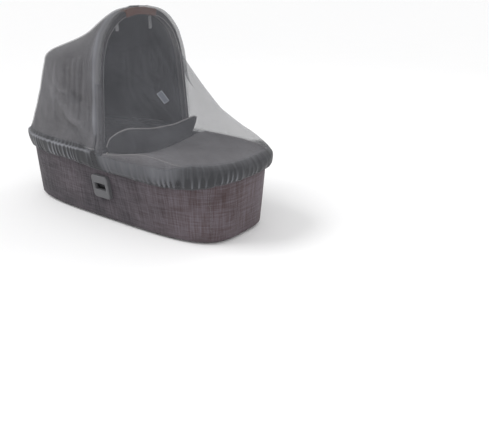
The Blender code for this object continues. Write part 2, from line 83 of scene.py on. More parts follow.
class Wire:
    """One number, colour or vector on its way through a material's nodes."""

    def __init__(self, board: "Board", socket: bpy.types.NodeSocket) -> None:
        """Wraps a node's output socket."""
        self.board = board
        self.socket = socket

    def _with(self, operation: str, first: object, second: object = None) -> "Wire":
        """Adds one Math node.

        Args:
            operation: Blender's name for the operation.
            first: the first operand, a Wire or a number.
            second: the second operand, if the operation has one.

        Returns:
            The result.
        """
        values = {0: first} if second is None else {0: first, 1: second}
        return self.board.node("ShaderNodeMath", {"operation": operation}, values)

    def __add__(self, other: object) -> "Wire":
        """Sum."""
        return self._with("ADD", self, other)

    def __radd__(self, other: object) -> "Wire":
        """Sum, reflected."""
        return self._with("ADD", other, self)

    def __sub__(self, other: object) -> "Wire":
        """Difference."""
        return self._with("SUBTRACT", self, other)

    def __rsub__(self, other: object) -> "Wire":
        """Difference, reflected."""
        return self._with("SUBTRACT", other, self)

    def __mul__(self, other: object) -> "Wire":
        """Product."""
        return self._with("MULTIPLY", self, other)

    def __pow__(self, other: object) -> "Wire":
        """Power."""
        return self._with("POWER", self, other)

    def sine(self) -> "Wire":
        """Sine of an angle in radians."""
        return self._with("SINE", self)

    def size(self) -> "Wire":
        """Absolute value."""
        return self._with("ABSOLUTE", self)

    def clamped(self) -> "Wire":
        """The value held between 0 and 1."""
        return self.board.node("ShaderNodeClamp", {}, {"Value": self})

    def eased(self, low: float, high: float) -> "Wire":
        """0 below low, 1 above high, and a smooth step between."""
        settings = {"interpolation_type": "SMOOTHSTEP"}
        return self.board.node("ShaderNodeMapRange", settings, {"Value": self, 1: low, 2: high})


class Board:
    """A material's node tree, with one method for every kind of node."""

    def __init__(self, name: str) -> None:
        """Starts a material with a Principled shader."""
        self.material = bpy.data.materials.new(name)
        self.material.use_nodes = True
        self.tree = self.material.node_tree
        self.shader = self.tree.nodes["Principled BSDF"]

    def node(
        self, kind: str, settings: dict[str, object], values: dict[object, object], output: int | str = 0
    ) -> Wire:
        """Adds a node.

        Args:
            kind: Blender's type name.
            settings: attributes, set before the sockets. "stops" gives a ramp's (place, colour) pairs.
            values: numbers or wires by socket name or place.
            output: the output that is wanted.

        Returns:
            That output.
        """
        node = self.tree.nodes.new(kind)
        for key, value in settings.items():
            if key != "stops":
                setattr(node, key, value)
                continue
            ramp = node.color_ramp
            while len(ramp.elements) < len(value):
                ramp.elements.new(0.5)
            for element, (place, colour) in zip(ramp.elements, value):
                element.position = place
                element.color = (*colour, 1.0)
        for key, value in values.items():
            self.feed(node.inputs[key], value)
        return Wire(self, node.outputs[output])

    def feed(self, socket: bpy.types.NodeSocket, value: object) -> None:
        """Links a wire to a socket, or sets a number or colour on it."""
        if isinstance(value, Wire):
            self.tree.links.new(value.socket, socket)
        elif isinstance(value, tuple) and len(value) == 3 and socket.type == "RGBA":
            socket.default_value = (*value, 1.0)
        else:
            socket.default_value = value

    def place(self) -> Wire:
        """Object coordinates, in metres."""
        return self.node("ShaderNodeTexCoord", {}, {}, "Object")

    def laid(self) -> Wire:
        """The piece's own UV map, in metres along and across its cloth."""
        return self.node("ShaderNodeUVMap", {"uv_map": "cloth"}, {})

    def axes(self, vector: Wire) -> tuple[Wire, Wire, Wire]:
        """The three numbers of a vector."""
        split = self.node("ShaderNodeSeparateXYZ", {}, {0: vector})
        outputs = split.socket.node.outputs
        return Wire(self, outputs[0]), Wire(self, outputs[1]), Wire(self, outputs[2])

    def stretched(self, vector: Wire, scale: tuple[float, float, float]) -> Wire:
        """A vector scaled axis by axis."""
        return self.node("ShaderNodeMapping", {}, {"Vector": vector, "Scale": scale})

    def clouds(self, vector: Wire, scale: float, detail: float = 3.0, rough: float = 0.5) -> Wire:
        """Soft noise between 0 and 1."""
        values = {"Vector": vector, "Scale": scale, "Detail": detail, "Roughness": rough}
        return self.node("ShaderNodeTexNoise", {}, values, "Fac")

    def blend(self, share: object, first: object, second: object) -> Wire:
        """A colour between two."""
        values = {0: share, 6: first, 7: second}
        return self.node("ShaderNodeMix", {"data_type": "RGBA"}, values, 2)

    def relief(self, height: Wire, strength: float, distance: float) -> Wire:
        """A normal that shows a height in metres."""
        return self.node("ShaderNodeBump", {}, {"Height": height, "Strength": strength, "Distance": distance})

    def dress(self, **values: object) -> bpy.types.Material:
        """Feeds the Principled shader.

        Args:
            **values: a number, colour or wire for each socket, its name with _ for a space.

        Returns:
            The finished material.
        """
        for key, value in values.items():
            self.feed(self.shader.inputs[key.replace("_", " ")], value)
        return self.material


# Finishes


@dataclass(frozen=True)
class Woven:
    """A plain or melange woven cloth on the piece's cloth map.

    Attributes:
        name: the material's.
        dark: the deepest yarn.
        light: the palest yarn.
        pitch: from thread to thread, in metres.
        slub: how much the yarn's colour wanders.
        sheen: how much its fibres catch the light.
        tint: the deepest yarn where the cloth browns low on the foot end.
        patch: how many soft patches there are in a metre.
        yarn: how many slubs there are in a metre.
        shaded: where painted shade turns the cloth to half its darkest yarn, along x.
    """

    name: str
    dark: Colour
    light: Colour
    pitch: float = 0.0013
    slub: float = 0.5
    sheen: float = 0.25
    tint: Colour | None = None
    patch: float = 9.0
    yarn: float = 190.0
    shaded: tuple[float, float] | None = None

    def material(self) -> bpy.types.Material:
        """Warp and weft threads, uneven yarn, soft patches, and the fold attribute's painted shade and
        highlights.
        """
        board = Board(self.name)
        cloth = board.laid()
        along, across, _ = board.axes(cloth)
        turn = 2.0 * math.pi / self.pitch
        warp = (along * turn).sine()
        weft = (across * turn).sine()
        weave = (warp * weft) * 0.5 + 0.5
        yarn = board.clouds(board.stretched(cloth, (1.0, 0.07, 1.0)), self.yarn, 5.0, 0.62)
        pick = board.clouds(board.stretched(cloth, (0.07, 1.0, 1.0)), self.yarn, 5.0, 0.62)
        melange = yarn * 0.55 + pick * 0.45
        # fold paints shade, -1, into the hood walls' valleys and behind the hoop, and highlights, 1, onto
        # ridges and the strip over the hoop; pieces without it read 0.
        fold = board.node("ShaderNodeAttribute", {"attribute_name": "fold"}, {}, "Fac")
        patches = board.clouds(board.place(), self.patch, 3.0, 0.55)
        uneven = (melange - 0.5) * (5.0 * self.slub) + (patches - 0.5) * 0.9
        share = uneven + weave * 0.22 + fold * 0.28 + 0.39
        colour = board.blend(share.clamped(), self.dark, self.light)
        # Painted shade: past this place along x the cloth darkens towards half its darkest yarn.
        if self.shaded is not None:
            x, _, _ = board.axes(board.place())
            colour = board.blend(x.eased(*self.shaded), colour, tuple(part * 0.5 for part in self.dark))
        if self.tint is not None:
            x, _, z = board.axes(board.place())
            brown = (x.eased(0.05, 0.42) * 0.75 + (patches - 0.4) * 0.8).clamped()
            low = 1.0 - z.eased(0.16, 0.22)
            bright = tuple(part * 1.55 for part in self.light)
            colour = board.blend(brown * low, colour, board.blend(share.clamped(), self.tint, bright))
        height = weave * 0.6 + melange * 0.8
        return board.dress(
            Base_Color=colour,
            Roughness=0.86 + melange * 0.1,
            Sheen_Weight=self.sheen,
            Sheen_Roughness=0.45,
            Specular_IOR_Level=0.25,
            Normal=board.relief(height, 0.45, 0.0006),
        )


@dataclass(frozen=True)
class SheerMesh:
    """The net's knitted mesh: open cells on the cloth map, denser where it is gathered."""

    name: str
    colour: Colour
    cover: float
    cell: float = 0.0019

    def material(self) -> bpy.types.Material:
        """Alpha from a small honeycomb of threads, thickened at the hem, and for painted light over the hoop
        and painted shade in the hinge groove, by the "gather" attribute.
        """
        board = Board(self.name)
        cloth = board.laid()
        along, across, _ = board.axes(cloth)
        turn = 2.0 * math.pi / self.cell
        first = (along * turn).sine()
        slant = (across * (turn * 0.87) + along * (turn * 0.5)).sine()
        third = (across * (turn * 0.87) - along * (turn * 0.5)).sine()
        cells = (first * slant * third).size() ** 0.5
        gather = board.node("ShaderNodeAttribute", {"attribute_name": "gather"}, {}, "Fac")
        streaks = board.clouds(board.stretched(cloth, (1.0, 0.06, 1.0)), 90.0, 3.0, 0.6)
        soft = board.clouds(board.place(), 7.0, 2.0, 0.5)
        threads = 1.0 - cells * 0.30
        cover = threads * (self.cover * 1.18) + (streaks - 0.5) * 0.10 + (soft - 0.5) * 0.08
        alpha = (cover + gather * (0.97 - cover)).clamped()
        deep = tuple(part * 0.30 for part in self.colour)
        pale = tuple(part * 1.70 for part in self.colour)
        # The net's colour: uneven streaks and soft patches, the fold attribute's painted shade and
        # highlights, and slightly darker where it is gathered.
        fold = board.node("ShaderNodeAttribute", {"attribute_name": "fold"}, {}, "Fac")
        painted_folds = fold * (gather * 0.95 + 0.25)
        colour = board.blend((streaks * 0.5 + soft * 0.5 + painted_folds - gather * 0.06).clamped(), deep, pale)
        return board.dress(
            Base_Color=colour,
            Alpha=alpha,
            Roughness=0.72,
            Sheen_Weight=0.18,
            Sheen_Roughness=0.4,
            Specular_IOR_Level=0.3,
            Normal=board.relief(threads, 0.25, 0.0004),
        )


@dataclass(frozen=True)
class Hide:
    """Brown leather-look with pores, soft creases and worn high spots."""

    name: str
    colour: Colour
    worn: Colour

    def material(self) -> bpy.types.Material:
        """Cells of two sizes for the grain, and a paler rub along the ridges."""
        board = Board(self.name)
        place = board.place()
        grain = board.node("ShaderNodeTexVoronoi", {}, {"Vector": place, "Scale": 900.0}, "Distance")
        pores = board.clouds(place, 1600.0, 2.0)
        mottle = board.clouds(place, 45.0, 4.0, 0.6)
        share = (mottle * 1.4 - 0.35 + grain * 0.3).clamped()
        return board.dress(
            Base_Color=board.blend(share, self.colour, self.worn),
            Roughness=0.42 + mottle * 0.22,
            Coat_Weight=0.08,
            Normal=board.relief(grain * 0.7 + pores * 0.3, 0.4, 0.0005),
        )


@dataclass(frozen=True)
class Moulded:
    """Moulded plastic or satin metal with a fine texture."""

    name: str
    colour: Colour
    roughness: float = 0.5
    metal: float = 0.0
    grain: float = 1400.0

    def material(self) -> bpy.types.Material:
        """Spark-eroded grain and faint dust."""
        board = Board(self.name)
        place = board.place()
        fine = board.clouds(place, self.grain, 2.0, 0.7)
        dust = board.clouds(place, 30.0, 4.0, 0.6)
        dark = tuple(part * 0.8 for part in self.colour)
        pale = tuple(min(part * 1.25, 1.0) for part in self.colour)
        return board.dress(
            Base_Color=board.blend((dust * 0.7 + fine * 0.3).clamped(), dark, pale),
            Roughness=(self.roughness - 0.1 + dust * 0.2).clamped(),
            Metallic=self.metal,
            Normal=board.relief(fine, 0.25, 0.0003),
        )


@dataclass(frozen=True)
class Paper:
    """The pale studio floor."""

    name: str
    colour: Colour

    def material(self) -> bpy.types.Material:
        """A plain matt surface with a trace of unevenness."""
        board = Board(self.name)
        uneven = board.clouds(board.place(), 3.0, 2.0)
        dark = tuple(part * 0.985 for part in self.colour)
        return board.dress(Base_Color=board.blend(uneven, dark, self.colour), Roughness=0.9)


class Finish(Enum):
    """Every finish of the carrycot and its net."""

    TUB = Woven(
        "tub_melange",
        (0.019, 0.017, 0.021),
        (0.100, 0.087, 0.100),
        pitch=0.0016,
        slub=0.66,
        sheen=0.10,
        tint=(0.078, 0.048, 0.046),
    )
    HOOD = Woven("hood_weave", (0.063, 0.057, 0.060), (0.200, 0.187, 0.192), 0.0012, 0.42, 0.18)
    # The hood's cloth in paler colours as a painted highlight on the hoop, with painted shade on its front
    # and inner face.
    HOOP = Woven(
        "hoop_cloth",
        (0.122, 0.115, 0.122),
        (0.305, 0.290, 0.296),
        pitch=0.0012,
        slub=0.34,
        sheen=0.18,
        shaded=(0.013, 0.021),
    )
    LINING = Woven("hood_lining", (0.030, 0.031, 0.035), (0.085, 0.088, 0.096), 0.0012, 0.30, 0.10)
    HOOD_BAND = Woven("hood_band", (0.260, 0.245, 0.245), (0.460, 0.440, 0.440), 0.0012, 0.30, 0.30)
    NET = SheerMesh("net_knit", (0.138, 0.141, 0.155), 0.405)
    NET_TRIM = Woven("net_trim", (0.230, 0.240, 0.265), (0.400, 0.410, 0.440), 0.0010, 0.30, 0.25)
    LEATHER = Hide("grip_hide", (0.088, 0.024, 0.012), (0.200, 0.072, 0.038))
    APRON = Woven("apron_cloth", (0.120, 0.112, 0.120), (0.300, 0.285, 0.296), 0.0012, 0.34, 0.18)
    FLAP = Woven("flap_cloth", (0.012, 0.012, 0.014), (0.052, 0.050, 0.056), 0.0012, 0.30, 0.16)
    TAPE = Woven("loop_tape", (0.260, 0.260, 0.270), (0.460, 0.460, 0.470), 0.0009, 0.25, 0.2)
    LABEL = Woven("label_tape", (0.085, 0.092, 0.110), (0.190, 0.200, 0.225), 0.0007, 0.15, 0.2)
    THREAD = Moulded("sewing_thread", (0.200, 0.195, 0.205), 0.8)
    LEATHER_THREAD = Moulded("grip_thread", (0.260, 0.160, 0.110), 0.8)
    PLASTIC = Moulded("plate_plastic", (0.098, 0.098, 0.104), 0.48)
    DARK_PLASTIC = Moulded("slot_plastic", (0.012, 0.012, 0.014), 0.6)
    METAL = Moulded("satin_metal", (0.720, 0.700, 0.660), 0.28, 1.0)
    FLOOR = Paper("studio_floor", (0.965, 0.965, 0.968))

    def made(self) -> bpy.types.Material:
        """The finish's material, made once."""
        return bpy.data.materials.get(self.value.name) or self.value.material()


# Mesh helpers


def hermite(t: Array | float, low: Array, high: Array, leave: Array, arrive: Array) -> Array:
    """Points on a smooth curve.

    Args:
        t: how far from the start to the end, 0 to 1.
        low: the start.
        high: the end.
        leave: the slope at the start.
        arrive: the slope at the end.

    Returns:
        The points.
    """
    ends = (2 * t**3 - 3 * t**2 + 1) * low + (3 * t**2 - 2 * t**3) * high
    return ends + (t**3 - 2 * t**2 + t) * leave + (t**3 - t**2) * arrive


def smooth_read(places: Sequence[float], values: Sequence[float], at: Array) -> Array:
    """Reads a short table along a smooth curve through its rows.

    Args:
        places: rising places of the rows.
        values: their values.
        at: where to read.

    Returns:
        The values there.
    """
    x = np.asarray(places, float)
    y = np.asarray(values, float)
    step = np.diff(y) / np.diff(x)
    slope = np.concatenate([[step[0]], (step[1:] + step[:-1]) / 2, [step[-1]]])
    at = np.clip(np.asarray(at, float), x[0], x[-1])
    k = np.clip(np.searchsorted(x, at, side="right") - 1, 0, len(x) - 2)
    width = x[k + 1] - x[k]
    return hermite((at - x[k]) / width, y[k], y[k + 1], width * slope[k], width * slope[k + 1])


def through(rings: Sequence[Array], steps: Sequence[int]) -> list[Array]:
    """Rows along smooth curves through some rings, leaving out the last ring.

    Args:
        rings: arrays of points, column by column.
        steps: rows from each ring to the next.

    Returns:
        The rows.
    """
    rows = []
    for k, count in enumerate(steps):
        before = rings[max(k - 1, 0)]
        after = rings[min(k + 2, len(rings) - 1)]
        low, high = rings[k], rings[k + 1]
        leave = (high - before) / 2 if k else high - low
        arrive = (after - low) / 2 if k + 2 < len(rings) else high - low
        rows += [hermite(t, low, high, leave, arrive) for t in np.arange(count) / count]
    return rows


def ease(value: Array | float) -> Array:
    """A smooth step from 0 to 1."""
    value = np.clip(value, 0.0, 1.0)
    return value * value * (3.0 - 2.0 * value)


def ramp(value: Array | float, start: float, width: float) -> Array:
    """A smooth step from 0 at start to 1 a width further, which may be negative."""
    return ease((value - start) / width)


def bell(value: Array, middle: float, spread: float, power: int = 2) -> Array:
    """A smooth bump: 1 at the middle and nearly 0 two spreads away."""
    return np.exp(-(((value - middle) / spread) ** power))


def grid_normals(grid: Array, closed: bool) -> Array:
    """Unit vectors square to a grid of points, to the left of its rows' run.

    Args:
        grid: rows by columns by 3.
        closed: whether the last column meets the first.

    Returns:
        One vector for each point.
    """
    if closed:
        along = np.roll(grid, -1, 1) - np.roll(grid, 1, 1)
    else:
        along = np.gradient(grid, axis=1)
    up = np.gradient(grid, axis=0)
    normal = np.cross(along, up)
    return normal / np.maximum(np.linalg.norm(normal, axis=2, keepdims=True), 1e-9)


def add_piece(name: str, mesh: bpy.types.Mesh, finish: Finish) -> bpy.types.Object:
    """Links a mesh at the origin, smooth and dressed in one finish."""
    mesh.materials.clear()
    mesh.materials.append(finish.made())
    mesh.shade_smooth()
    piece = bpy.data.objects.new(name, mesh)
    bpy.context.scene.collection.objects.link(piece)
    return piece


def lay_grid(
    name: str,
    grid: Array,
    finish: Finish,
    closed: bool,
    gather: Array | None = None,
    merge: float = 0.0,
    fold: Array | None = None,
    anchor: int = 0,
) -> bpy.types.Object:
    """Makes a cloth piece from a grid, with a cloth map in metres.

    Args:
        name: the piece's name.
        grid: rows by columns by 3.
        finish: what it is made of.
        closed: whether the last column meets the first.
        gather: how densely the cloth is drawn up, and where it is thickened to carry painted light and shade,
            0 to 1, by point.
        merge: distance under which points become one, or 0.
        fold: painted shade, -1, in the valleys of folds to painted highlight, 1, on their ridges, by point.
        anchor: the row from which the cloth map counts upwards.

    Returns:
        The piece.
    """
    rows, columns, _ = grid.shape
    wide = np.concatenate([grid, grid[:, :1]], 1) if closed else grid
    run = np.linalg.norm(np.diff(wide, axis=1), axis=2)
    widest = int(np.argmax(run.sum(1)))
    u = np.concatenate([[0.0], np.cumsum(run[widest])])
    climb = np.linalg.norm(np.diff(wide, axis=0), axis=2)
    v = np.concatenate([np.zeros((1, wide.shape[1])), np.cumsum(climb, 0)])
    v = v - v[anchor]
    r, c = np.meshgrid(np.arange(rows - 1), np.arange(wide.shape[1] - 1), indexing="ij")
    r, c = r.ravel(), c.ravel()
    after = (c + 1) % columns if closed else c + 1
    low, high = r * columns, (r + 1) * columns
    faces = np.stack([low + c, low + after, high + after, high + c], 1)
    mesh = bpy.data.meshes.new(name)
    mesh.from_pydata(grid.reshape(-1, 3).tolist(), [], faces.tolist())
    corners = np.stack(
        [
            np.stack([u[c], u[c + 1], u[c + 1], u[c]], 1),
            np.stack([v[r, c], v[r, c + 1], v[r + 1, c + 1], v[r + 1, c]], 1),
        ],
        2,
    )
    layer = mesh.uv_layers.new(name="cloth")
    layer.data.foreach_set("uv", corners.ravel())
    for label, values in (("gather", gather), ("fold", fold)):
        if values is not None:
            mesh.attributes.new(label, "FLOAT", "POINT").data.foreach_set("value", np.ravel(values))
    if merge:
        model = bmesh.new()
        model.from_mesh(mesh)
        bmesh.ops.remove_doubles(model, verts=model.verts, dist=merge)
        bmesh.ops.dissolve_degenerate(model, dist=1e-6, edges=model.edges)
        model.to_mesh(mesh)
        model.free()
    return add_piece(name, mesh, finish)


def thicken(
    piece: bpy.types.Object, thickness: float, offset: float = -1.0, lining: Finish | None = None
) -> bpy.types.Object:
    """Gives a sheet its thickness, and applies it.

    Args:
        piece: the sheet.
        thickness: in metres.
        offset: -1 to grow inwards, 0 to both sides.
        lining: the inner side's finish, if it has its own.

    Returns:
        The piece.
    """
    solidify = piece.modifiers.new("Thickness", "SOLIDIFY")
    if lining is not None:
        piece.data.materials.append(lining.made())
        solidify.material_offset = 1
    solidify.thickness = thickness
    solidify.offset = offset
    graph = bpy.context.evaluated_depsgraph_get()
    mesh = bpy.data.meshes.new_from_object(piece.evaluated_get(graph))
    piece.modifiers.clear()
    old = piece.data
    piece.data = mesh
    mesh.name = piece.name
    bpy.data.meshes.remove(old)
    return piece


def face_out(piece: bpy.types.Object, middle: Vector | None = None) -> None:
    """Turns faces out: a closed body's from its inside, and a sheet's away from a middle.

    Args:
        piece: the body or sheet.
        middle: the point that a sheet's faces turn from.
    """
    model = bmesh.new()
    model.from_mesh(piece.data)
    bmesh.ops.recalc_face_normals(model, faces=model.faces)
    if middle is not None:
        outward = sum(face.normal.dot(face.calc_center_median() - middle) for face in model.faces)
        if outward < 0:
            bmesh.ops.reverse_faces(model, faces=model.faces)
    model.to_mesh(piece.data)
    model.free()


# Geometry Nodes for what follows a path


class Growth:
    """A Geometry Nodes tree with named inputs."""

    def __init__(self, name: str) -> None:
        """Starts a tree with a geometry input and output."""
        self.tree = bpy.data.node_groups.new(name, "GeometryNodeTree")
        self.tree.interface.new_socket("Geometry", in_out="INPUT", socket_type="NodeSocketGeometry")
        self.tree.interface.new_socket("Geometry", in_out="OUTPUT", socket_type="NodeSocketGeometry")
        self.entry = self.tree.nodes.new("NodeGroupInput")
        self.exit = self.tree.nodes.new("NodeGroupOutput")

    def ask(self, name: str, kind: str = "NodeSocketFloat") -> bpy.types.NodeSocket:
        """Adds a named input and gives its socket inside the tree."""
        self.tree.interface.new_socket(name, in_out="INPUT", socket_type=kind)
        return self.entry.outputs[name]

    def node(
        self, kind: str, values: dict[object, object], settings: dict[str, object] | None = None
    ) -> bpy.types.NodeOutputs:
        """Adds a node.

        Args:
            kind: Blender's type name.
            values: numbers or sockets by input name or place.
            settings: attributes, set first.

        Returns:
            The node's outputs.
        """
        node = self.tree.nodes.new(kind)
        for key, value in (settings or {}).items():
            setattr(node, key, value)
        for key, value in values.items():
            if isinstance(value, bpy.types.NodeSocket):
                self.tree.links.new(value, node.inputs[key])
            else:
                node.inputs[key].default_value = value
        return node.outputs

    def end(self, geometry: bpy.types.NodeSocket) -> None:
        """Realizes instances, sets the material input and closes the tree."""
        real = self.node("GeometryNodeRealizeInstances", {0: geometry})[0]
        finish = self.ask("Material", "NodeSocketMaterial")
        dressed = self.node("GeometryNodeSetMaterial", {0: real, "Material": finish})[0]
        self.tree.links.new(dressed, self.exit.inputs[0])

    def run(self, name: str, paths: Sequence[Array], finish: Finish, **inputs: float) -> bpy.types.Object:
        """Grows the tree's geometry along open paths and keeps it as a plain mesh.

        Args:
            name: the piece's name.
            paths: arrays of points.
            finish: what it is made of.
            **inputs: a number for each named input, its name with _ for a space.

        Returns:
            The piece.
        """
        points, edges = [], []
        for path in paths:
            first = len(points)
            points.extend(tuple(map(float, point)) for point in path)
            edges.extend((first + k, first + k + 1) for k in range(len(path) - 1))
        guide = bpy.data.meshes.new(name + "_guide")
        guide.from_pydata(points, edges, [])
        holder = bpy.data.objects.new(name + "_guide", guide)
        bpy.context.scene.collection.objects.link(holder)
        modifier = holder.modifiers.new("Growth", "NODES")
        modifier.node_group = self.tree
        for item in self.tree.interface.items_tree:
            key = item.name.replace(" ", "_")
            if item.in_out == "INPUT" and key in inputs:
                modifier[item.identifier] = inputs[key]
            elif item.in_out == "INPUT" and item.name == "Material":
                modifier[item.identifier] = finish.made()
        graph = bpy.context.evaluated_depsgraph_get()
        mesh = bpy.data.meshes.new_from_object(holder.evaluated_get(graph))
        bpy.data.objects.remove(holder)
        bpy.data.meshes.remove(guide)
        mesh.name = name
        return add_piece(name, mesh, finish)


def stitch_tree() -> Growth:
    """Rounded stitches, end to end along a path."""
    growth = Growth("stitches")
    gap, length, radius = growth.ask("Gap"), growth.ask("Length"), growth.ask("Radius")
    curve = growth.node("GeometryNodeMeshToCurve", {0: growth.entry.outputs[0]})[0]
    even = growth.node("GeometryNodeResampleCurve", {"Curve": curve, "Length": gap}, {"mode": "LENGTH"})[0]
    bead = growth.node("GeometryNodeMeshUVSphere", {"Segments": 6, "Rings": 4, "Radius": 1.0})[0]
    half = growth.node("ShaderNodeMath", {0: length, 1: 0.5}, {"operation": "MULTIPLY"})[0]
    size = growth.node("ShaderNodeCombineXYZ", {0: radius, 1: radius, 2: half})[0]
    long_bead = growth.node("GeometryNodeTransform", {"Geometry": bead, "Scale": size})[0]
    tangent = growth.node("GeometryNodeInputTangent", {})[0]
    turn = growth.node("FunctionNodeAlignRotationToVector", {"Vector": tangent}, {"axis": "Z"})[0]
    row = {"Points": even, "Instance": long_bead, "Rotation": turn}
    growth.end(growth.node("GeometryNodeInstanceOnPoints", row)[0])
    return growth


def piping_tree() -> Growth:
    """A round cord of cloth along a path."""
    growth = Growth("piping")
    radius = growth.ask("Radius")
    curve = growth.node("GeometryNodeMeshToCurve", {0: growth.entry.outputs[0]})[0]
    ring = growth.node("GeometryNodeCurvePrimitiveCircle", {"Resolution": 8, "Radius": radius})[0]
    tube = {"Curve": curve, "Profile Curve": ring, "Fill Caps": True}
    growth.end(growth.node("GeometryNodeCurveToMesh", tube)[0])
    return growth


class Shared:
    """A tree that is made when it is first used."""

    def __init__(self, make: Callable[[], Growth]) -> None:
        """Keeps how to make the tree."""
        self.make = make
        self.growth: Growth | None = None

    def __call__(self) -> Growth:
        """The tree."""
        if self.growth is None:
            self.growth = self.make()
        return self.growth


STITCHES = Shared(stitch_tree)
PIPING = Shared(piping_tree)


def trim(piece: bpy.types.Object) -> bpy.types.Object:
    """Lets a piece ride on the carrycot."""
    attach(piece, "root")
    return piece


def stitched(
    name: str,
    paths: Sequence[Array],
    sizes: tuple[float, float, float] = (0.0042, 0.0030, 0.00032),
    finish: Finish = Finish.THREAD,
) -> bpy.types.Object:
    """Stitches along some paths.

    Args:
        name: the piece's name.
        paths: arrays of points.
        sizes: from stitch to stitch, a stitch's length, and its radius.
        finish: what the thread is made of.

    Returns:
        The piece.
    """
    gap, length, radius = sizes
    return trim(STITCHES().run(name, paths, finish, Gap=gap, Length=length, Radius=radius))


def piped(
    name: str, path: Array, radius: float, finish: Finish = Finish.HOOD_BAND
) -> bpy.types.Object:
    """A cord of cloth along a path.

    Args:
        name: the piece's name.
        path: its points.
        radius: the cord's.
        finish: what it is made of.

    Returns:
        The piece.
    """
    return trim(PIPING().run(name, [path], finish, Radius=radius))


# The carrycot's shape


class Outline(NamedTuple):
    """A plan outline: two half superellipses that meet at the hoop."""

    half_width: float
    head_reach: float
    foot_reach: float
    exponent: float

    def grown(self, amount: float) -> "Outline":
        """The outline moved outwards."""
        return Outline(
            self.half_width + amount, self.head_reach + amount, self.foot_reach + amount, self.exponent
        )


class Crease(NamedTuple):
    """A soft fold pressed into a side wall: its line in x and z, its height and its half width."""

    line: tuple[tuple[float, float], ...]
    height: float
    spread: float


def crease_relief(x: Array, z: Array, creases: Iterable[Crease]) -> Array:
    """How far the creases lift or sink a wall at each place.

    Args:
        x: places along the carrycot.
        z: heights.
        creases: the folds.

    Returns:
        The lift, outwards.
    """
    total = np.zeros(x.shape)
    for crease in creases:
        nearest = np.full(x.shape, 1e9)
        fade = np.ones(x.shape)
        points = np.array(crease.line)
        pieces = len(points) - 1
        for k, (a, b) in enumerate(zip(points, points[1:])):
            run = b - a
            t = np.clip(((x - a[0]) * run[0] + (z - a[1]) * run[1]) / (run @ run), 0.0, 1.0)
            away = np.hypot(x - a[0] - t * run[0], z - a[1] - t * run[1])
            closer = away < nearest
            nearest = np.where(closer, away, nearest)
            fade = np.where(closer, np.sin(np.pi * np.clip((k + t) / pieces, 0.04, 0.96)) ** 0.6, fade)
        total += crease.height * fade * np.exp(-((nearest / crease.spread) ** 2))
    return total


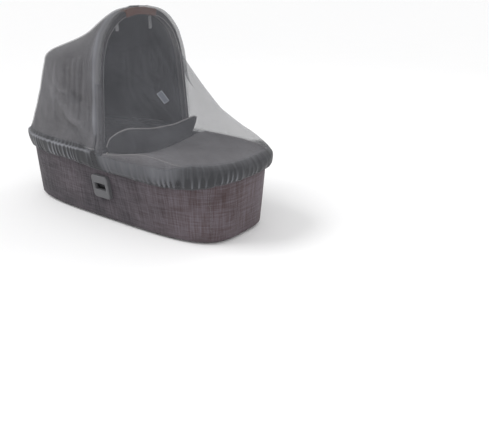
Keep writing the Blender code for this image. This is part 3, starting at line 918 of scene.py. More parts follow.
@dataclass
class CotShape:
    """Sizes and surfaces that every piece shares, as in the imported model."""

    hoop_x: float = 0.020
    hoop_half_depth: float = 0.013
    hoop_top: float = 0.608
    rim_widest: Outline = Outline(0.2040, 0.440, 0.400, 3.2)
    tub_top: Outline = Outline(0.1855, 0.4265, 0.380, 3.3)
    tub_bottom: Outline = Outline(0.1605, 0.4255, 0.361, 3.8)
    tub_height: float = 0.2015
    rail_top: float = 0.2149
    rail_out: float = 0.0045
    rail_lip_z: float = 0.194
    cap_levels: tuple[tuple[float, float, float, float], ...] = (
        (0.2265, 0.1990, 0.436, 3.1),
        (0.2600, 0.1890, 0.426, 3.0),
        (0.3050, 0.1850, 0.404, 2.9),
        (0.3600, 0.1795, 0.376, 2.9),
        (0.4080, 0.1750, 0.355, 2.9),
        (0.4420, 0.1712, 0.341, 2.9),
        (0.4640, 0.1677, 0.333, 2.8),
        (0.4800, 0.1643, 0.312, 2.5),
        (0.4950, 0.1597, 0.274, 2.1),
        (0.5140, 0.1525, 0.220, 1.75),
        (0.5370, 0.1425, 0.160, 1.6),
        (0.5620, 0.1230, 0.112, 1.6),
        (0.5860, 0.0950, 0.066, 1.6),
        (0.6010, 0.0600, 0.030, 1.7),
        (0.6080, 0.0180, 0.004, 2.0),
    )
    net_sag: float = 0.010
    net_waist: float = 0.50
    net_ridge: float = 2.2
    front_clear: float = 0.0065
    shoulder_inset: float = 0.007
    shoulder_z: float = 0.224
    widest_z_foot: float = 0.210
    widest_z_head: float = 0.222
    near_edge_rise: float = 0.026
    near_edge_centre: float = 0.21
    near_edge_spread: float = 0.11
    deep_fold: float = 0.0032
    near_creases: float = 0.95
    far_shift: tuple[float, float] = (0.025, -0.012)
    hanging: float = 0.00066
    uneven: float = 0.0006
    cap_close: float = 0.004
    clear_rise: float = 20.0
    wall_creases: tuple[Crease, ...] = (
        Crease(((-0.205, 0.430), (-0.154, 0.377), (-0.101, 0.374)), 0.0036, 0.0075),
        Crease(((-0.103, 0.379), (-0.070, 0.366), (-0.031, 0.360)), -0.0034, 0.0085),
        Crease(((-0.150, 0.332), (-0.114, 0.303), (-0.073, 0.290), (-0.040, 0.300)), 0.0034, 0.0075),
        Crease(((-0.140, 0.318), (-0.110, 0.286), (-0.060, 0.270)), -0.0030, 0.0085),
        Crease(((-0.175, 0.461), (-0.183, 0.374), (-0.191, 0.283)), 0.0024, 0.0095),
        Crease(((-0.119, 0.465), (-0.131, 0.350)), -0.0024, 0.0100),
        Crease(((-0.040, 0.470), (-0.050, 0.392), (-0.058, 0.320)), -0.0022, 0.0110),
        Crease(((-0.250, 0.403), (-0.193, 0.373), (-0.109, 0.321), (-0.010, 0.256)), 0.0030, 0.0110),
    )

    def columns(self, steps: int) -> tuple[Array, Array]:
        """Turns and ends once round: over the foot from near to far, then back over the head."""
        turn = self.even_turns(steps)
        end = np.ones(steps + 1)
        return np.concatenate([turn, turn[::-1]]), np.concatenate([end, -end])

    def even_turns(self, steps: int) -> Array:
        """Turns from the near side over the end to the far side, evenly spaced on the rim."""
        turn = np.linspace(0.0, math.pi, 4001)
        bend = 2 / self.rim_widest.exponent
        along = self.rim_widest.foot_reach * np.sin(turn) ** bend
        across = -self.rim_widest.half_width * np.sign(np.cos(turn)) * np.abs(np.cos(turn)) ** bend
        length = np.concatenate([[0.0], np.cumsum(np.hypot(np.diff(along), np.diff(across)))])
        return np.interp(np.linspace(0.0, length[-1], steps + 1), length, turn)

    def plan(self, outline: Outline, turn: Array, end: Array) -> tuple[Array, Array]:
        """Plan points of an outline, whose sizes may be arrays."""
        reach = np.where(end > 0, outline.foot_reach, outline.head_reach)
        along = reach * np.abs(np.sin(turn)) ** (2 / outline.exponent)
        across = outline.half_width * np.sign(np.cos(turn)) * np.abs(np.cos(turn)) ** (2 / outline.exponent)
        return self.hoop_x + end * (self.hoop_half_depth + along), -across

    def ring(self, outline: Outline, z: Array | float, turn: Array, end: Array) -> Array:
        """Points of an outline at a height."""
        x, y = self.plan(outline, turn, end)
        return np.stack([x, y, np.broadcast_to(z, x.shape)], -1)

    def tub_at(self, z: Array | float) -> Outline:
        """The tub's outline at a height."""
        share = z / self.tub_height
        return Outline(*(low + (high - low) * share for low, high in zip(self.tub_bottom, self.tub_top)))

    def edge_rise(self, x: Array, y: Array) -> Array:
        """How much higher the apron and the net ride along the near edge."""
        hump = bell(x, self.near_edge_centre, self.near_edge_spread)
        return self.near_edge_rise * hump * np.maximum(-y, 0.0) / self.rim_widest.half_width

    def level(self, z: Array | float) -> tuple[Array, Array, Array]:
        """Half width at the hoop, the hood's reach and its plan's exponent at a height."""
        heights, *columns = zip(*self.cap_levels)
        side, back, bend = (smooth_read(heights, column, z) for column in columns)
        return side, back, bend

    def cap(self, z: float, turn: Array, end: Array) -> Array:
        """Points of the stretched net at one height of its cap."""
        side, back, bend = self.level(z)
        start = self.cap_levels[0][0]
        share = (z - start) / (self.hoop_top + self.cap_close - start)
        exponent = self.rim_widest.exponent
        rim_share = np.abs(np.sin(turn)) ** (2 / exponent)
        on_chord = share + (1.0 - share) * rim_share
        narrow = np.clip((1.0 - on_chord**exponent) / (1.0 - share**exponent), 0.0, 1.0)
        out = narrow ** (1 / exponent)
        sag = 6.75 * self.net_sag * share**2 * (1.0 - share)
        reach = (self.rim_widest.foot_reach - self.shoulder_inset) * (1.0 - share) - sag
        rim_like = np.maximum(1.0 - out**exponent, 0.0) ** (1 / exponent)
        tent_like = (1.0 - out**2) ** self.net_ridge
        front = reach * (rim_like + (tent_like - rim_like) * ease(share / self.net_waist))
        front += self.front_clear * min(1.0, self.clear_rise * share) * (1.0 - rim_share**2)
        behind = back * np.abs(np.sin(turn)) ** (2 / bend)
        across_front = side * np.sign(np.cos(turn)) * out
        across_back = side * np.sign(np.cos(turn)) * np.abs(np.cos(turn)) ** (2 / bend)
        x = self.hoop_x + end * (self.hoop_half_depth + np.where(end > 0, front, behind))
        y = -np.where(end > 0, across_front, across_back)
        return np.stack([x, y, z + (1.0 - share) ** 6 * self.edge_rise(x, y)], -1)

    def arch(self, steps: int) -> tuple[Array, Array]:
        """The hoop's line on the net, near foot to far foot in the YZ plane, and inward unit vectors."""
        heights = np.linspace(self.cap_levels[0][0], self.cap_levels[-1][0], 400)
        side = self.level(heights)[0]
        half = np.concatenate([np.stack([side, heights], 1), [[0.0, self.hoop_top]]])
        line = np.concatenate([half * (-1, 1), half[::-1][1:]])
        length = np.concatenate([[0.0], np.cumsum(np.hypot(*np.diff(line, axis=0).T))])
        even = np.linspace(0.0, length[-1], steps + 1)
        line = np.stack([np.interp(even, length, line[:, 0]), np.interp(even, length, line[:, 1])], 1)
        slope = np.gradient(line, axis=0)
        slope /= np.linalg.norm(slope, axis=1)[:, None]
        return line, np.stack([slope[:, 1], -slope[:, 0]], 1)

    def cap_heights(self, rows: int) -> Array:
        """Heights of the cap's rows, evenly spaced along the hoop."""
        line, _ = self.arch(2 * rows)
        return line[: rows + 1, 1]

    def wall_relief(self, grid: Array) -> Array:
        """The hood walls' folds: as the photo shows them on the near side, and softer on the far side."""
        x, y, z = grid[..., 0], grid[..., 1], grid[..., 2]
        wall = ramp(np.abs(y), 0.06, 0.07) * (x < self.hoop_x)
        near = self.near_creases * crease_relief(x, z, self.wall_creases)
        along, up = self.far_shift
        far = crease_relief(x + along, z + up, self.wall_creases[1:])
        drapes = ramp(x, -0.16, 0.07) * ramp(z, 0.26, 0.06) * ramp(z, 0.50, -0.06)
        hanging = self.hanging * drapes * np.sin(x * 255.0 + 2.6 * np.sin(z * 9.0))
        uneven = self.uneven * np.sin(x * 63.0 + 1.7 * np.sin(z * 21.0)) * np.sin(z * 47.0 + x * 15.0)
        return wall * (np.where(y < 0, near, far) + hanging + uneven)

    def wall_fold_shading(self, grid: Array) -> Array:
        """Painted shade, -1, in the walls' valleys and painted highlight, 1, on their ridges."""
        return np.clip(self.wall_relief(grid) / self.deep_fold, -1.0, 1.0)


# The net


@dataclass
class NetCover:
    """The mosquito net: a tent over the apron, tight round the hood, with a gathered elastic hem."""

    shape: CotShape
    half_columns: int = 300
    cap_rows: int = 84
    lift: float = 0.00075
    hem_gap: float = 0.0023
    pleat_depth: float = 0.0065
    fine_pleat: float = 0.0032
    fine_pitch: float = 0.019
    hem_channel: float = 0.009
    band_in: float = 0.35
    band_down: float = 0.68
    hinge_fold: float = 0.004
    channel_press: float = 0.0004
    channel_roll: float = 0.0011
    fade_head: float = 0.034
    fade_foot: float = 0.017
    crown_gap: float = 0.0002
    pulls: tuple[float, float] = (0.0011, 0.0005)
    pinch_cover: float = 0.55
    pinch_half: float = 0.0035
    channel_cover: float = 0.72
    loose_cover: float = 0.45
    loose_reach: float = 0.022
    head_from: float = 0.03
    foot_from: float = 0.27
    end_fade: float = 0.08
    skirt_cover: float = 0.62
    skirt_end_cover: float = 0.28
    skirt_top: float = 0.2235
    skirt_end_rise: float = 0.016
    skirt_fade: float = 0.010
    # Painted light and shade: the net is thickened and paled over the hoop, and thickened and darkened in the
    # hinge groove.
    hoop_cover: float = 0.62
    hoop_band: tuple[float, float] = (0.014, 0.018)
    grip_clear: tuple[float, float] = (0.060, 0.016)
    groove_shade_cover: float = 0.9
    groove_shade: float = 1.5
    groove_band: tuple[float, float] = (0.012, 0.012)
    groove_top: tuple[float, float] = (0.232, -0.010)
    # How strongly shade and highlights are painted on the folds, pulls, pleats, skirt, hem, hoop and rim.
    wall_shade: float = 0.7
    pull_shade: float = 137.5
    pleat_shade: float = 1.9
    pleat_head_shade: float = 0.7
    skirt_shade: float = 0.5
    hem_shade: float = 0.7
    hem_band: tuple[float, float] = (0.002, 0.0028)
    hoop_light: float = 0.30
    rim_light: float = 0.95
    rim_half: float = 0.0032
    flat_width: float = 1.12
    flat_length: float = 1.20
    flat_area: float = 0.80
    hem_levels: tuple[tuple[float, float, float], ...] = (
        (-0.420, 0.184, 0.8),
        (-0.250, 0.175, 1.0),
        (-0.120, 0.176, 1.0),
        (-0.050, 0.170, 0.9),
        (0.015, 0.163, 0.5),
        (0.100, 0.164, 0.15),
        (0.200, 0.160, 0.5),
        (0.320, 0.162, 1.0),
        (0.380, 0.168, 1.0),
        (0.420, 0.178, 0.8),
    )

    def strength(self, x: Array) -> Array:
        """How strongly the hem is gathered along the carrycot."""
        places, _, gathers = zip(*self.hem_levels)
        return np.interp(x, places, gathers)

    def outward(self, ring: Array) -> Array:
        """Outward unit vectors in plan round a closed ring."""
        chord = np.roll(ring, -1, 0) - np.roll(ring, 1, 0)
        normal = np.stack([chord[:, 1], -chord[:, 0], np.zeros(len(ring))], 1)
        return normal / np.maximum(np.linalg.norm(normal, axis=1, keepdims=True), 1e-9)

    def coarse_pleats(self, turn: Array, end: Array) -> Array:
        """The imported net's uneven gathers, read smoothly between its columns."""
        skirt_steps = 64
        count = 2 * (skirt_steps + 1)
        draw = random.Random(11)
        heights = [0.55 + 0.45 * draw.random() for _ in range(count // 3 + 1)]
        crest = (0.0, 0.75, 1.0)
        pleats = np.array([crest[k % 3] * heights[k // 3] for k in range(count)])
        turns = self.shape.even_turns(skirt_steps)
        place = np.interp(turn, turns, np.arange(skirt_steps + 1))
        place = np.where(end > 0, place, count - 1 - place)
        low = np.floor(place).astype(int) % count
        share = ease(place - np.floor(place))
        return pleats[low] * (1 - share) + pleats[(low + 1) % count] * share

    def fine_pleats(self, ring: Array) -> Array:
        """Narrow gathers of uneven width and height, 0 to 1, along a ring."""
        step = np.linalg.norm(np.roll(ring, -1, 0) - ring, axis=1)
        run = np.concatenate([[0.0], np.cumsum(step)[:-1]])
        turn = 2 * np.pi * run / self.fine_pitch
        wander = 1.9 * np.sin(run * 31.0) + 1.1 * np.sin(run * 73.0 + 1.3)
        height = 0.68 + 0.32 * np.sin(run * 47.0 + 0.6) * np.sin(run * 19.0)
        return (0.5 + 0.5 * np.sin(turn + wander)) ** 1.25 * height

    def fade(self, x: Array, above: Array) -> Array:
        """How the fine pleats die out above the elastic channel: slowly at the head half."""
        reach = self.fade_head + (self.fade_foot - self.fade_head) * ramp(x, -0.02, 0.1)
        return bell(np.maximum(above - self.hem_channel, 0.0), 0.0, reach)

    def skirt(self, turn: Array, end: Array) -> tuple[list[Array], Array, Array]:
        """Rows from the hem up to the cap.

        Args:
            turn: turns round the outline.
            end: +1 on the foot half and -1 on the head half.

        Returns:
            The rows, and the gathering strength and fine pleats of each column.
        """
        shape = self.shape
        rim_x, rim_y = shape.plan(shape.rim_widest, turn, end)
        foot = ramp(rim_x, -0.02, 0.12)
        widest_z = shape.widest_z_head + (shape.widest_z_foot - shape.widest_z_head) * foot
        widest = np.stack([rim_x, rim_y, widest_z + shape.edge_rise(rim_x, rim_y)], 1)
        places, heights, _ = zip(*self.hem_levels)
        hem_z = smooth_read(places, heights, rim_x)
        hem = shape.ring(shape.tub_at(hem_z), hem_z, turn, end)
        strength = self.strength(hem[:, 0])
        out = self.outward(hem)
        depth = self.hem_gap + self.pleat_depth * strength * self.coarse_pleats(turn, end)
        hem = hem + out * depth[:, None]
        band = widest + (hem - widest) * (self.band_in, self.band_in, self.band_down)
        fold = (np.abs(np.sin(turn)) < 0.02) & (rim_y < 0) & (end > 0)
        band[fold, 1] += self.hinge_fold
        first = shape.cap(shape.cap_levels[0][0], turn, end)
        second = shape.cap(shape.cap_levels[1][0], turn, end)
        rows = through([hem, band, widest, first, second], [16, 8, 4])
        fine = self.fine_pleats(hem) * strength
        drawn = []
        for row in rows:
            above = row[:, 2] - hem_z
            channel = bell(above, self.hem_channel, 0.0016)
            roll = np.sin(np.pi * np.clip(above / self.hem_channel, 0.0, 1.0)) * self.channel_roll
            pleats = self.fine_pleat * fine * self.fade(hem[:, 0], above)
            drawn.append(row + out * (pleats + roll - self.channel_press * channel)[:, None])
        return drawn, strength, fine

    def surface(self) -> tuple[Array, Array, Array]:
        """The whole net as a grid, how densely it is gathered, and painted shade in its folds' valleys and
        painted highlights on their ridges.
        """
        shape = self.shape
        turn, end = shape.columns(self.half_columns)
        rows, strength, fine = self.skirt(turn, end)
        heights = shape.cap_heights(self.cap_rows)
        rows += [shape.cap(float(z), turn, end) for z in heights]
        top = np.array([shape.hoop_x, 0.0, shape.hoop_top + self.crown_gap])
        rows.append(rows[-1] * 0.5 + top * 0.5)
        rows.append(np.broadcast_to(top, rows[-1].shape))
        grid = np.array(rows)
        normals = grid_normals(grid, True)
        relief = shape.wall_relief(grid) + self.tension(grid)
        relief[-3:] = 0.0
        grid = grid + normals * (relief - self.lift)[..., None]
        return grid, *self.shading(grid, strength, fine)

    def shading(self, grid: Array, strength: Array, fine: Array) -> tuple[Array, Array]:
        """How the mesh thickens, and the shade and highlights painted on it.

        Args:
            grid: the net's points.
            strength: how strongly each column is gathered.
            fine: each column's fine pleats.

        Returns:
            How densely the mesh is drawn up, 0 to 1, raised over the hoop for a painted highlight and in the
            hinge groove for painted shade, and painted shade, -1, in valleys to painted highlight, 1, on
            ridges.
        """
        x, y, z = grid[..., 0], grid[..., 1], grid[..., 2]
        above = z - z[0]
        pinch = self.pinch_cover * bell(above, self.hem_channel, self.pinch_half)
        channel = self.channel_cover * (above < self.hem_channel)
        loose = self.loose_cover * bell(np.maximum(above, 0.0), 0.0, self.loose_reach) * strength
        head = ramp(x, self.head_from, -self.end_fade)
        ends = np.maximum(head, ramp(x, self.foot_from, self.end_fade))
        under = ease((self.skirt_top + self.skirt_end_rise * ends - z) / self.skirt_fade)
        skirt = (self.skirt_cover + self.skirt_end_cover * ends) * under
        gather = np.clip(np.max([pinch, channel, loose, skirt], 0), 0.0, 0.95)
        # Painted highlight over the hoop: the net is thickened and paled there, less under the grip.
        over_hoop = bell(x, *self.hoop_band, 4) * ramp(z, 0.25, 0.03)
        over_hoop *= 0.30 + 0.70 * ramp(np.abs(y), *self.grip_clear)
        # Painted shade in the near hinge groove: the net is thickened and darkened there.
        groove = bell(x, *self.groove_band) * ramp(z, *self.groove_top) * (y < 0)
        gather = np.max([gather, self.hoop_cover * over_hoop, self.groove_shade_cover * groove], 0)
        # fold: painted shade in wall valleys, pleats, the skirt's ends, the hem and the groove; painted
        # highlights on ridges, over the hoop and along the rim at the head.
        fold = self.wall_shade * self.shape.wall_fold_shading(grid) + self.pull_shade * self.tension(grid)
        pleats = (fine - 0.42) * strength * self.fade(x, above)
        fold += pleats * (self.pleat_shade + self.pleat_head_shade * head)
        fold -= self.skirt_shade * skirt * np.maximum(head, 0.7 * ends)
        fold -= self.hem_shade * bell(above, *self.hem_band)
        fold += self.hoop_light * over_hoop
        fold += self.rim_light * bell(z, self.shape.widest_z_head, self.rim_half) * head
        return gather, np.clip(fold - self.groove_shade * groove, -1.0, 1.0)

    def tension(self, grid: Array) -> Array:
        """Faint pulls that run from the hoop's shoulders to the foot end."""
        x, y, z = grid[..., 0], grid[..., 1], grid[..., 2]
        front = ramp(x, 0.045, 0.06) * ramp(z, 0.235, 0.05)
        slope = np.arctan2(y, 0.52 - x)
        broad, narrow = self.pulls
        pulls = broad * np.sin(slope * 23.0 + 0.8 * np.sin(x * 14.0))
        pulls += narrow * np.sin(slope * 51.0 + 1.1 + 1.4 * np.sin(x * 9.0))
        return front * pulls

    def build(self) -> list[bpy.types.Object]:
        """The net as one sheet, with its label."""
        grid, gather, fold = self.surface()
        net = lay_grid("mosquito_net", grid, Finish.NET, True, gather, 0.0002, fold)
        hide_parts("net")
        trim(net)
        label = NetLabel(self.shape).build()
        log.info("net: %d rows of %d columns", *grid.shape[:2])
        return [net, *label]


@dataclass
class NetLabel:
    """The blank tape label sewn on the net's near slope."""

    shape: CotShape
    length: float = 0.036
    width: float = 0.0155
    thickness: float = 0.0008
    height: float = 0.378
    turn: float = 1.20
    slant: float = 0.05
    lift: float = 0.0011
    edge: float = 0.0015
    wave: float = 0.00025

    def frame(self) -> tuple[Array, Array, Array, Array]:
        """The label's centre, and its unit vectors along, across and out of the net."""
        turn, end = np.array([self.turn, self.turn + 0.02]), np.ones(2)
        here, beside = self.shape.cap(self.height, turn, end)
        lower = self.shape.cap(self.height - 0.01, turn, end)[0]
        down = (lower - here) / np.linalg.norm(lower - here)
        along = (beside - here) / np.linalg.norm(beside - here)
        out = np.cross(down, along)
        out /= np.linalg.norm(out)
        out = -out if out[1] > 0 else out
        across = np.cross(out, down)
        across /= np.linalg.norm(across)
        cosine, sine = math.cos(self.slant), math.sin(self.slant)
        return here, down * cosine + across * sine, across * cosine - down * sine, out

    def spot(self, frame: tuple[Array, Array, Array, Array], a: float, b: float, up: float) -> Array:
        """A point of the label: a and b run from -1 to 1 along and across it, and up is its height."""
        here, along, across, out = frame
        return here + along * a * self.length / 2 + across * b * self.width / 2 + out * up

    def build(self) -> list[bpy.types.Object]:
        """The label and its edge stitches."""
        frame = self.frame()
        rows = []
        for a in np.linspace(-0.5, 0.5, 25):
            row = []
            for b in np.linspace(-0.5, 0.5, 13):
                wave = self.wave * math.sin(9.0 * a) * math.cos(5.0 * b)
                row.append(self.spot(frame, 2 * a, 2 * b, self.lift + wave))
            rows.append(row)
        label = lay_grid("net_label_tape", np.array(rows), Finish.LABEL, False)
        thicken(label, self.thickness, 0.0)
        inset = 1.0 - 2 * self.edge / np.array([self.length, self.width])
        corners = [(-1, -1), (1, -1), (1, 1), (-1, 1), (-1, -1)]
        top = self.lift + self.thickness / 2 + 0.0001
        path = np.array([self.spot(frame, a * inset[0], b * inset[1], top) for a, b in corners])
        seam = stitched("net_label_stitches", [path], (0.0020, 0.0015, 0.0003), Finish.NET_TRIM)
        rim = np.array([self.spot(frame, a, b, self.lift) for a, b in corners])
        border = piped("net_label_border", rim, 0.0008, Finish.NET_TRIM)
        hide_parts("net_label")
        return [trim(label), seam, border]


# The hood


@dataclass
class Hood:
    """The hood's cloth, its front hoop, the leather-look grip and the tape loops."""

    shape: CotShape
    half_columns: int = 200
    rows: int = 96
    net_gap: float = 0.0035
    thickness: float = 0.0025
    border_z: float = 0.204
    border_out: float = 0.0074
    front_x: float = 0.0017
    gusset: float = 0.0047
    crown_drop: float = 0.0015
    hoop_steps: int = 150
    hoop_gap: float = 0.0059
    hoop_fill: float = 0.95
    side_thick: float = 0.010
    top_thick: float = 0.016
    thicker_from: float = 0.50
    grip_half: float = 0.065
    grip_centre: float = -0.001
    grip_wall: float = 0.0020
    seat: float = 0.0004
    loop_places: tuple[tuple[str, float], ...] = (("near", -0.073), ("far", 0.056))
    loop_top: float = 0.578
    loop_length: float = 0.036
    loop_width: float = 0.012
    zip_at: tuple[float, float] = (-0.030, 0.2190)
    zip_size: tuple[float, float, float] = (0.030, 0.008, 0.0018)
    zip_rings: tuple[tuple[float, float], ...] = (
        (0.0, 0.6),
        (0.0, 0.9),
        (0.2, 1.0),
        (0.8, 1.0),
        (1.0, 0.9),
        (1.0, 0.6),
        (1.0, 0.3),
        (0.0, 0.3),
        (0.0, 0.6),
    )
    flat: tuple[float, float] = (1.10, 0.56)
    flat_area: float = 0.375

    def cloth(self) -> Array:
        """The hood's outer surface as a grid, its border first."""
        shape = self.shape
        turn = shape.even_turns(self.half_columns)
        end = -np.ones(len(turn))
        border = shape.tub_top.grown(self.border_out)
        low = shape.ring(border, self.border_z, turn, end)
        high = shape.ring(border, shape.rail_top, turn, end)
        heights = shape.cap_heights(self.rows)
        cap = np.array([shape.cap(float(z), turn, end) for z in heights])
        normals = self.outward(cap, 10)
        relief = shape.wall_relief(cap) - self.net_gap - self.seat
        cap = cap + normals * relief[..., None]
        cap[-6:, :, 2] -= np.linspace(0.0, self.crown_drop, 6)[:, None]
        rows = through([low, high, cap[0], cap[2]], [5, 4]) + list(cap)
        grid = np.array(rows)
        limit = self.front_x + self.gusset * ramp(np.abs(grid[..., 1]), 0.088, 0.010)
        grid[..., 0] = np.where(grid[..., 0] > self.front_x - 0.004, limit, grid[..., 0])
        closing = grid[-1].copy()
        closing[:, 1] = 0.0
        return np.concatenate([grid, [closing]])

    def outward(self, grid: Array, row: int) -> Array:
        """Unit vectors square to the cloth, turned by one row's to point out."""
        normals = grid_normals(grid, False)
        return normals * (1.0 if float(np.mean(normals[row, :, 1] * grid[row, :, 1])) >= 0 else -1.0)

    def front_edge_shading(self, grid: Array) -> Array:
        """A painted highlight on the strip where the cloth is drawn over the hoop, and painted shade behind
        it.
        """
        x = grid[..., 0]
        drawn_highlight = 0.75 * ramp(x, -0.014, 0.004)
        shade = 0.55 * bell(x, -0.022, 0.006)
        return (drawn_highlight - shade) * ramp(grid[..., 2], 0.23, 0.03)

    def build_cloth(self) -> list[bpy.types.Object]:
        """The hood's sheet, and the stitches and piping of its lower band."""
        grid = self.cloth()
        # fold paints shade into the walls' valleys and behind the hoop, and highlights on their ridges and on
        # the strip over the hoop.
        fold = self.shape.wall_fold_shading(grid) + self.front_edge_shading(grid)
        cover = lay_grid("hood_cover", grid, Finish.HOOD, False, None, 0.0002, fold)
        face_out(cover, COT_MIDDLE)
        thicken(cover, self.thickness, lining=Finish.LINING)
        out = self.outward(grid, 20)
        seam = grid[9] + out[9] * 0.0004
        stitches = stitched("hood_band_stitches", [seam], (0.0042, 0.0030, 0.00035))
        share = (0.15 + 0.80 * ease(-grid[9, :, 0] / 0.40))[:, None]
        line = grid[10] * (1.0 - share) + grid[6] * share + out[9] * 0.0006
        cord = piped("hood_band_piping", line, 0.0023)
        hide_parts("hood")
        trim(cover)
        return [cover, stitches, cord]

    def sweep(
        self,
        name: str,
        outer: float,
        extra: float,
        depth: float,
        chosen: Callable[[Array], Array],
        finish: Finish,
        corner: float,
        foot: float | None,
    ) -> tuple[bpy.types.Object, Array]:
        """A soft rectangular section swept along the hoop.

        Args:
            name: the piece's name.
            outer: the distance of its outer face inside the net.
            extra: how much thicker than the hoop it is.
            depth: half its depth along the carrycot.
            chosen: picks the wanted places by their y.
            finish: what it is made of.
            corner: the corners' radius.
            foot: the height at which its ends are cut, or None.

        Returns:
            The piece and its sections.
        """
        line, inward = self.shape.arch(self.hoop_steps)
        pick = chosen(line[:, 0])
        line, inward = line[pick], inward[pick]
        low = self.thicker_from
        swell = ramp(line[:, 1], low, self.shape.hoop_top - low)
        thick = self.side_thick + (self.top_thick - self.side_thick) * swell
        sections = []
        for point, square, size in zip(line, inward, thick + extra):
            ring = []
            for k in range(32):
                turn = 2 * math.pi * (k + 0.5) / 32
                cosine, sine = math.cos(turn), math.sin(turn)
                across = (depth - corner) * np.clip(cosine * math.sqrt(2), -1, 1) + corner * cosine
                inside = (size / 2 - corner) * np.clip(sine * math.sqrt(2), -1, 1) + corner * sine
                away = outer + size / 2 + inside
                ring.append((self.shape.hoop_x + across, *(point + square * away)))
            sections.append(ring)
        grid = np.array(sections)
        if foot is not None:
            grid[0, :, 2] = grid[-1, :, 2] = foot
            for k in range(1, 6):
                for row in (k, -1 - k):
                    grid[row, :, 2] = np.maximum(grid[row, :, 2], foot + 0.002 * k)
        ends = [np.repeat(grid[k].mean(0)[None, None], grid.shape[1], 1) for k in (0, -1)]
        piece = lay_grid(name, np.concatenate([ends[0], grid, ends[1]]), finish, True, None, 0.00005)
        face_out(piece)
        return piece, grid

    def build_hoop(self) -> list[bpy.types.Object]:
        """The padded front hoop with piping and stitches along both edges."""
        depth = self.shape.hoop_half_depth
        foot = self.shape.rail_top + self.seat
        hoop, grid = self.sweep(
            "hoop_cover", self.hoop_gap, 0.0, depth, lambda y: np.abs(y) < 1.0, Finish.HOOP, 0.0032, foot
        )
        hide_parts("hoop")
        trim(hoop)
        inner_front, outer_back, outer_front = (grid[4:-4, k] for k in (4, 20, 27))
        edges = [outer_front, outer_back]
        seams = stitched("hoop_stitches", edges, (0.0045, 0.0032, 0.00035))
        return [hoop, seams, piped("hoop_piping", inner_front, 0.0012)]

    def build_grip(self) -> list[bpy.types.Object]:
        """The leather-look sleeve round the top of the hoop, with its seam stitches."""
        reach = self.grip_half
        grip, grid = self.sweep(
            "grip_sleeve",
            self.net_gap,
            2 * (self.grip_wall + self.seat),
            self.shape.hoop_half_depth + self.seat + self.grip_wall,
            lambda y: np.abs(y - self.grip_centre) <= reach,
            Finish.LEATHER,
            0.0050,
            None,
        )
        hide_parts("grip")
        trim(grip)
        edges = [grid[1:-1, 3], grid[1:-1, 12], grid[1], grid[-2]]
        sizes = (0.0046, 0.0033, 0.00042)
        return [grip, stitched("grip_stitches", edges, sizes, Finish.LEATHER_THREAD)]

    def build_loops(self) -> list[bpy.types.Object]:
        """Two folded tape loops on the back of the hoop, box-stitched at the top."""
        made = []
        back = self.shape.hoop_x - self.shape.hoop_half_depth - self.seat
        for side, y in self.loop_places:
            rows = []
            for down in np.linspace(0.0, self.loop_length, 30):
                bow = 0.0002 * math.sin(down * 150.0)
                across = np.linspace(-0.5, 0.5, 9) * self.loop_width
                rows.append([(back - 0.0008 - bow, y + a, self.loop_top - down) for a in across])
            tape = lay_grid(f"hood_loop_{side}_tape", np.array(rows), Finish.TAPE, False)
            thicken(tape, 0.0014, 0.0)
            half = self.loop_width / 2 - 0.0015
            face = back - 0.0016
            corners = [(half, 0.002), (half, 0.012), (-half, 0.012), (-half, 0.002), (half, 0.002)]
            box = np.array([(face, y + a, self.loop_top - b) for a, b in corners])
            sizes = (0.0022, 0.0016, 0.0003)
            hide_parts(f"hood_loop_{side}")
            made += [trim(tape), stitched(f"hood_loop_{side}_stitches", [box], sizes)]
        return made

    def zip_pull(self) -> bpy.types.Object:
        """The small metal zip pull on the near end of the hood's lower band."""
        x, z = self.zip_at
        length, width, thick = self.zip_size
        outline = self.shape.tub_top.grown(self.border_out)
        rows = []
        for depth, shrink in self.zip_rings:
            row = []
            for turn in np.linspace(0.0, 2 * math.pi, 25)[:-1]:
                taper = 1.0 - 0.35 * math.cos(turn)
                along, up = length / 2 * shrink * math.cos(turn), width / 2 * shrink * taper * math.sin(turn)
                row.append((x + along, -outline.half_width - 0.0006 - thick * depth, z + up - 0.25 * along))
            rows.append(row)
        pull = lay_grid("hood_zip_pull", np.array(rows), Finish.METAL, True, None, 1e-6)
        face_out(pull)
        return trim(pull)

    def build(self) -> list[bpy.types.Object]:
        """Every piece of the hood."""
        front = [*self.build_hoop(), *self.build_cloth(), *self.build_grip()]
        return [*front, *self.build_loops(), self.zip_pull()]


# The apron and its wind flap


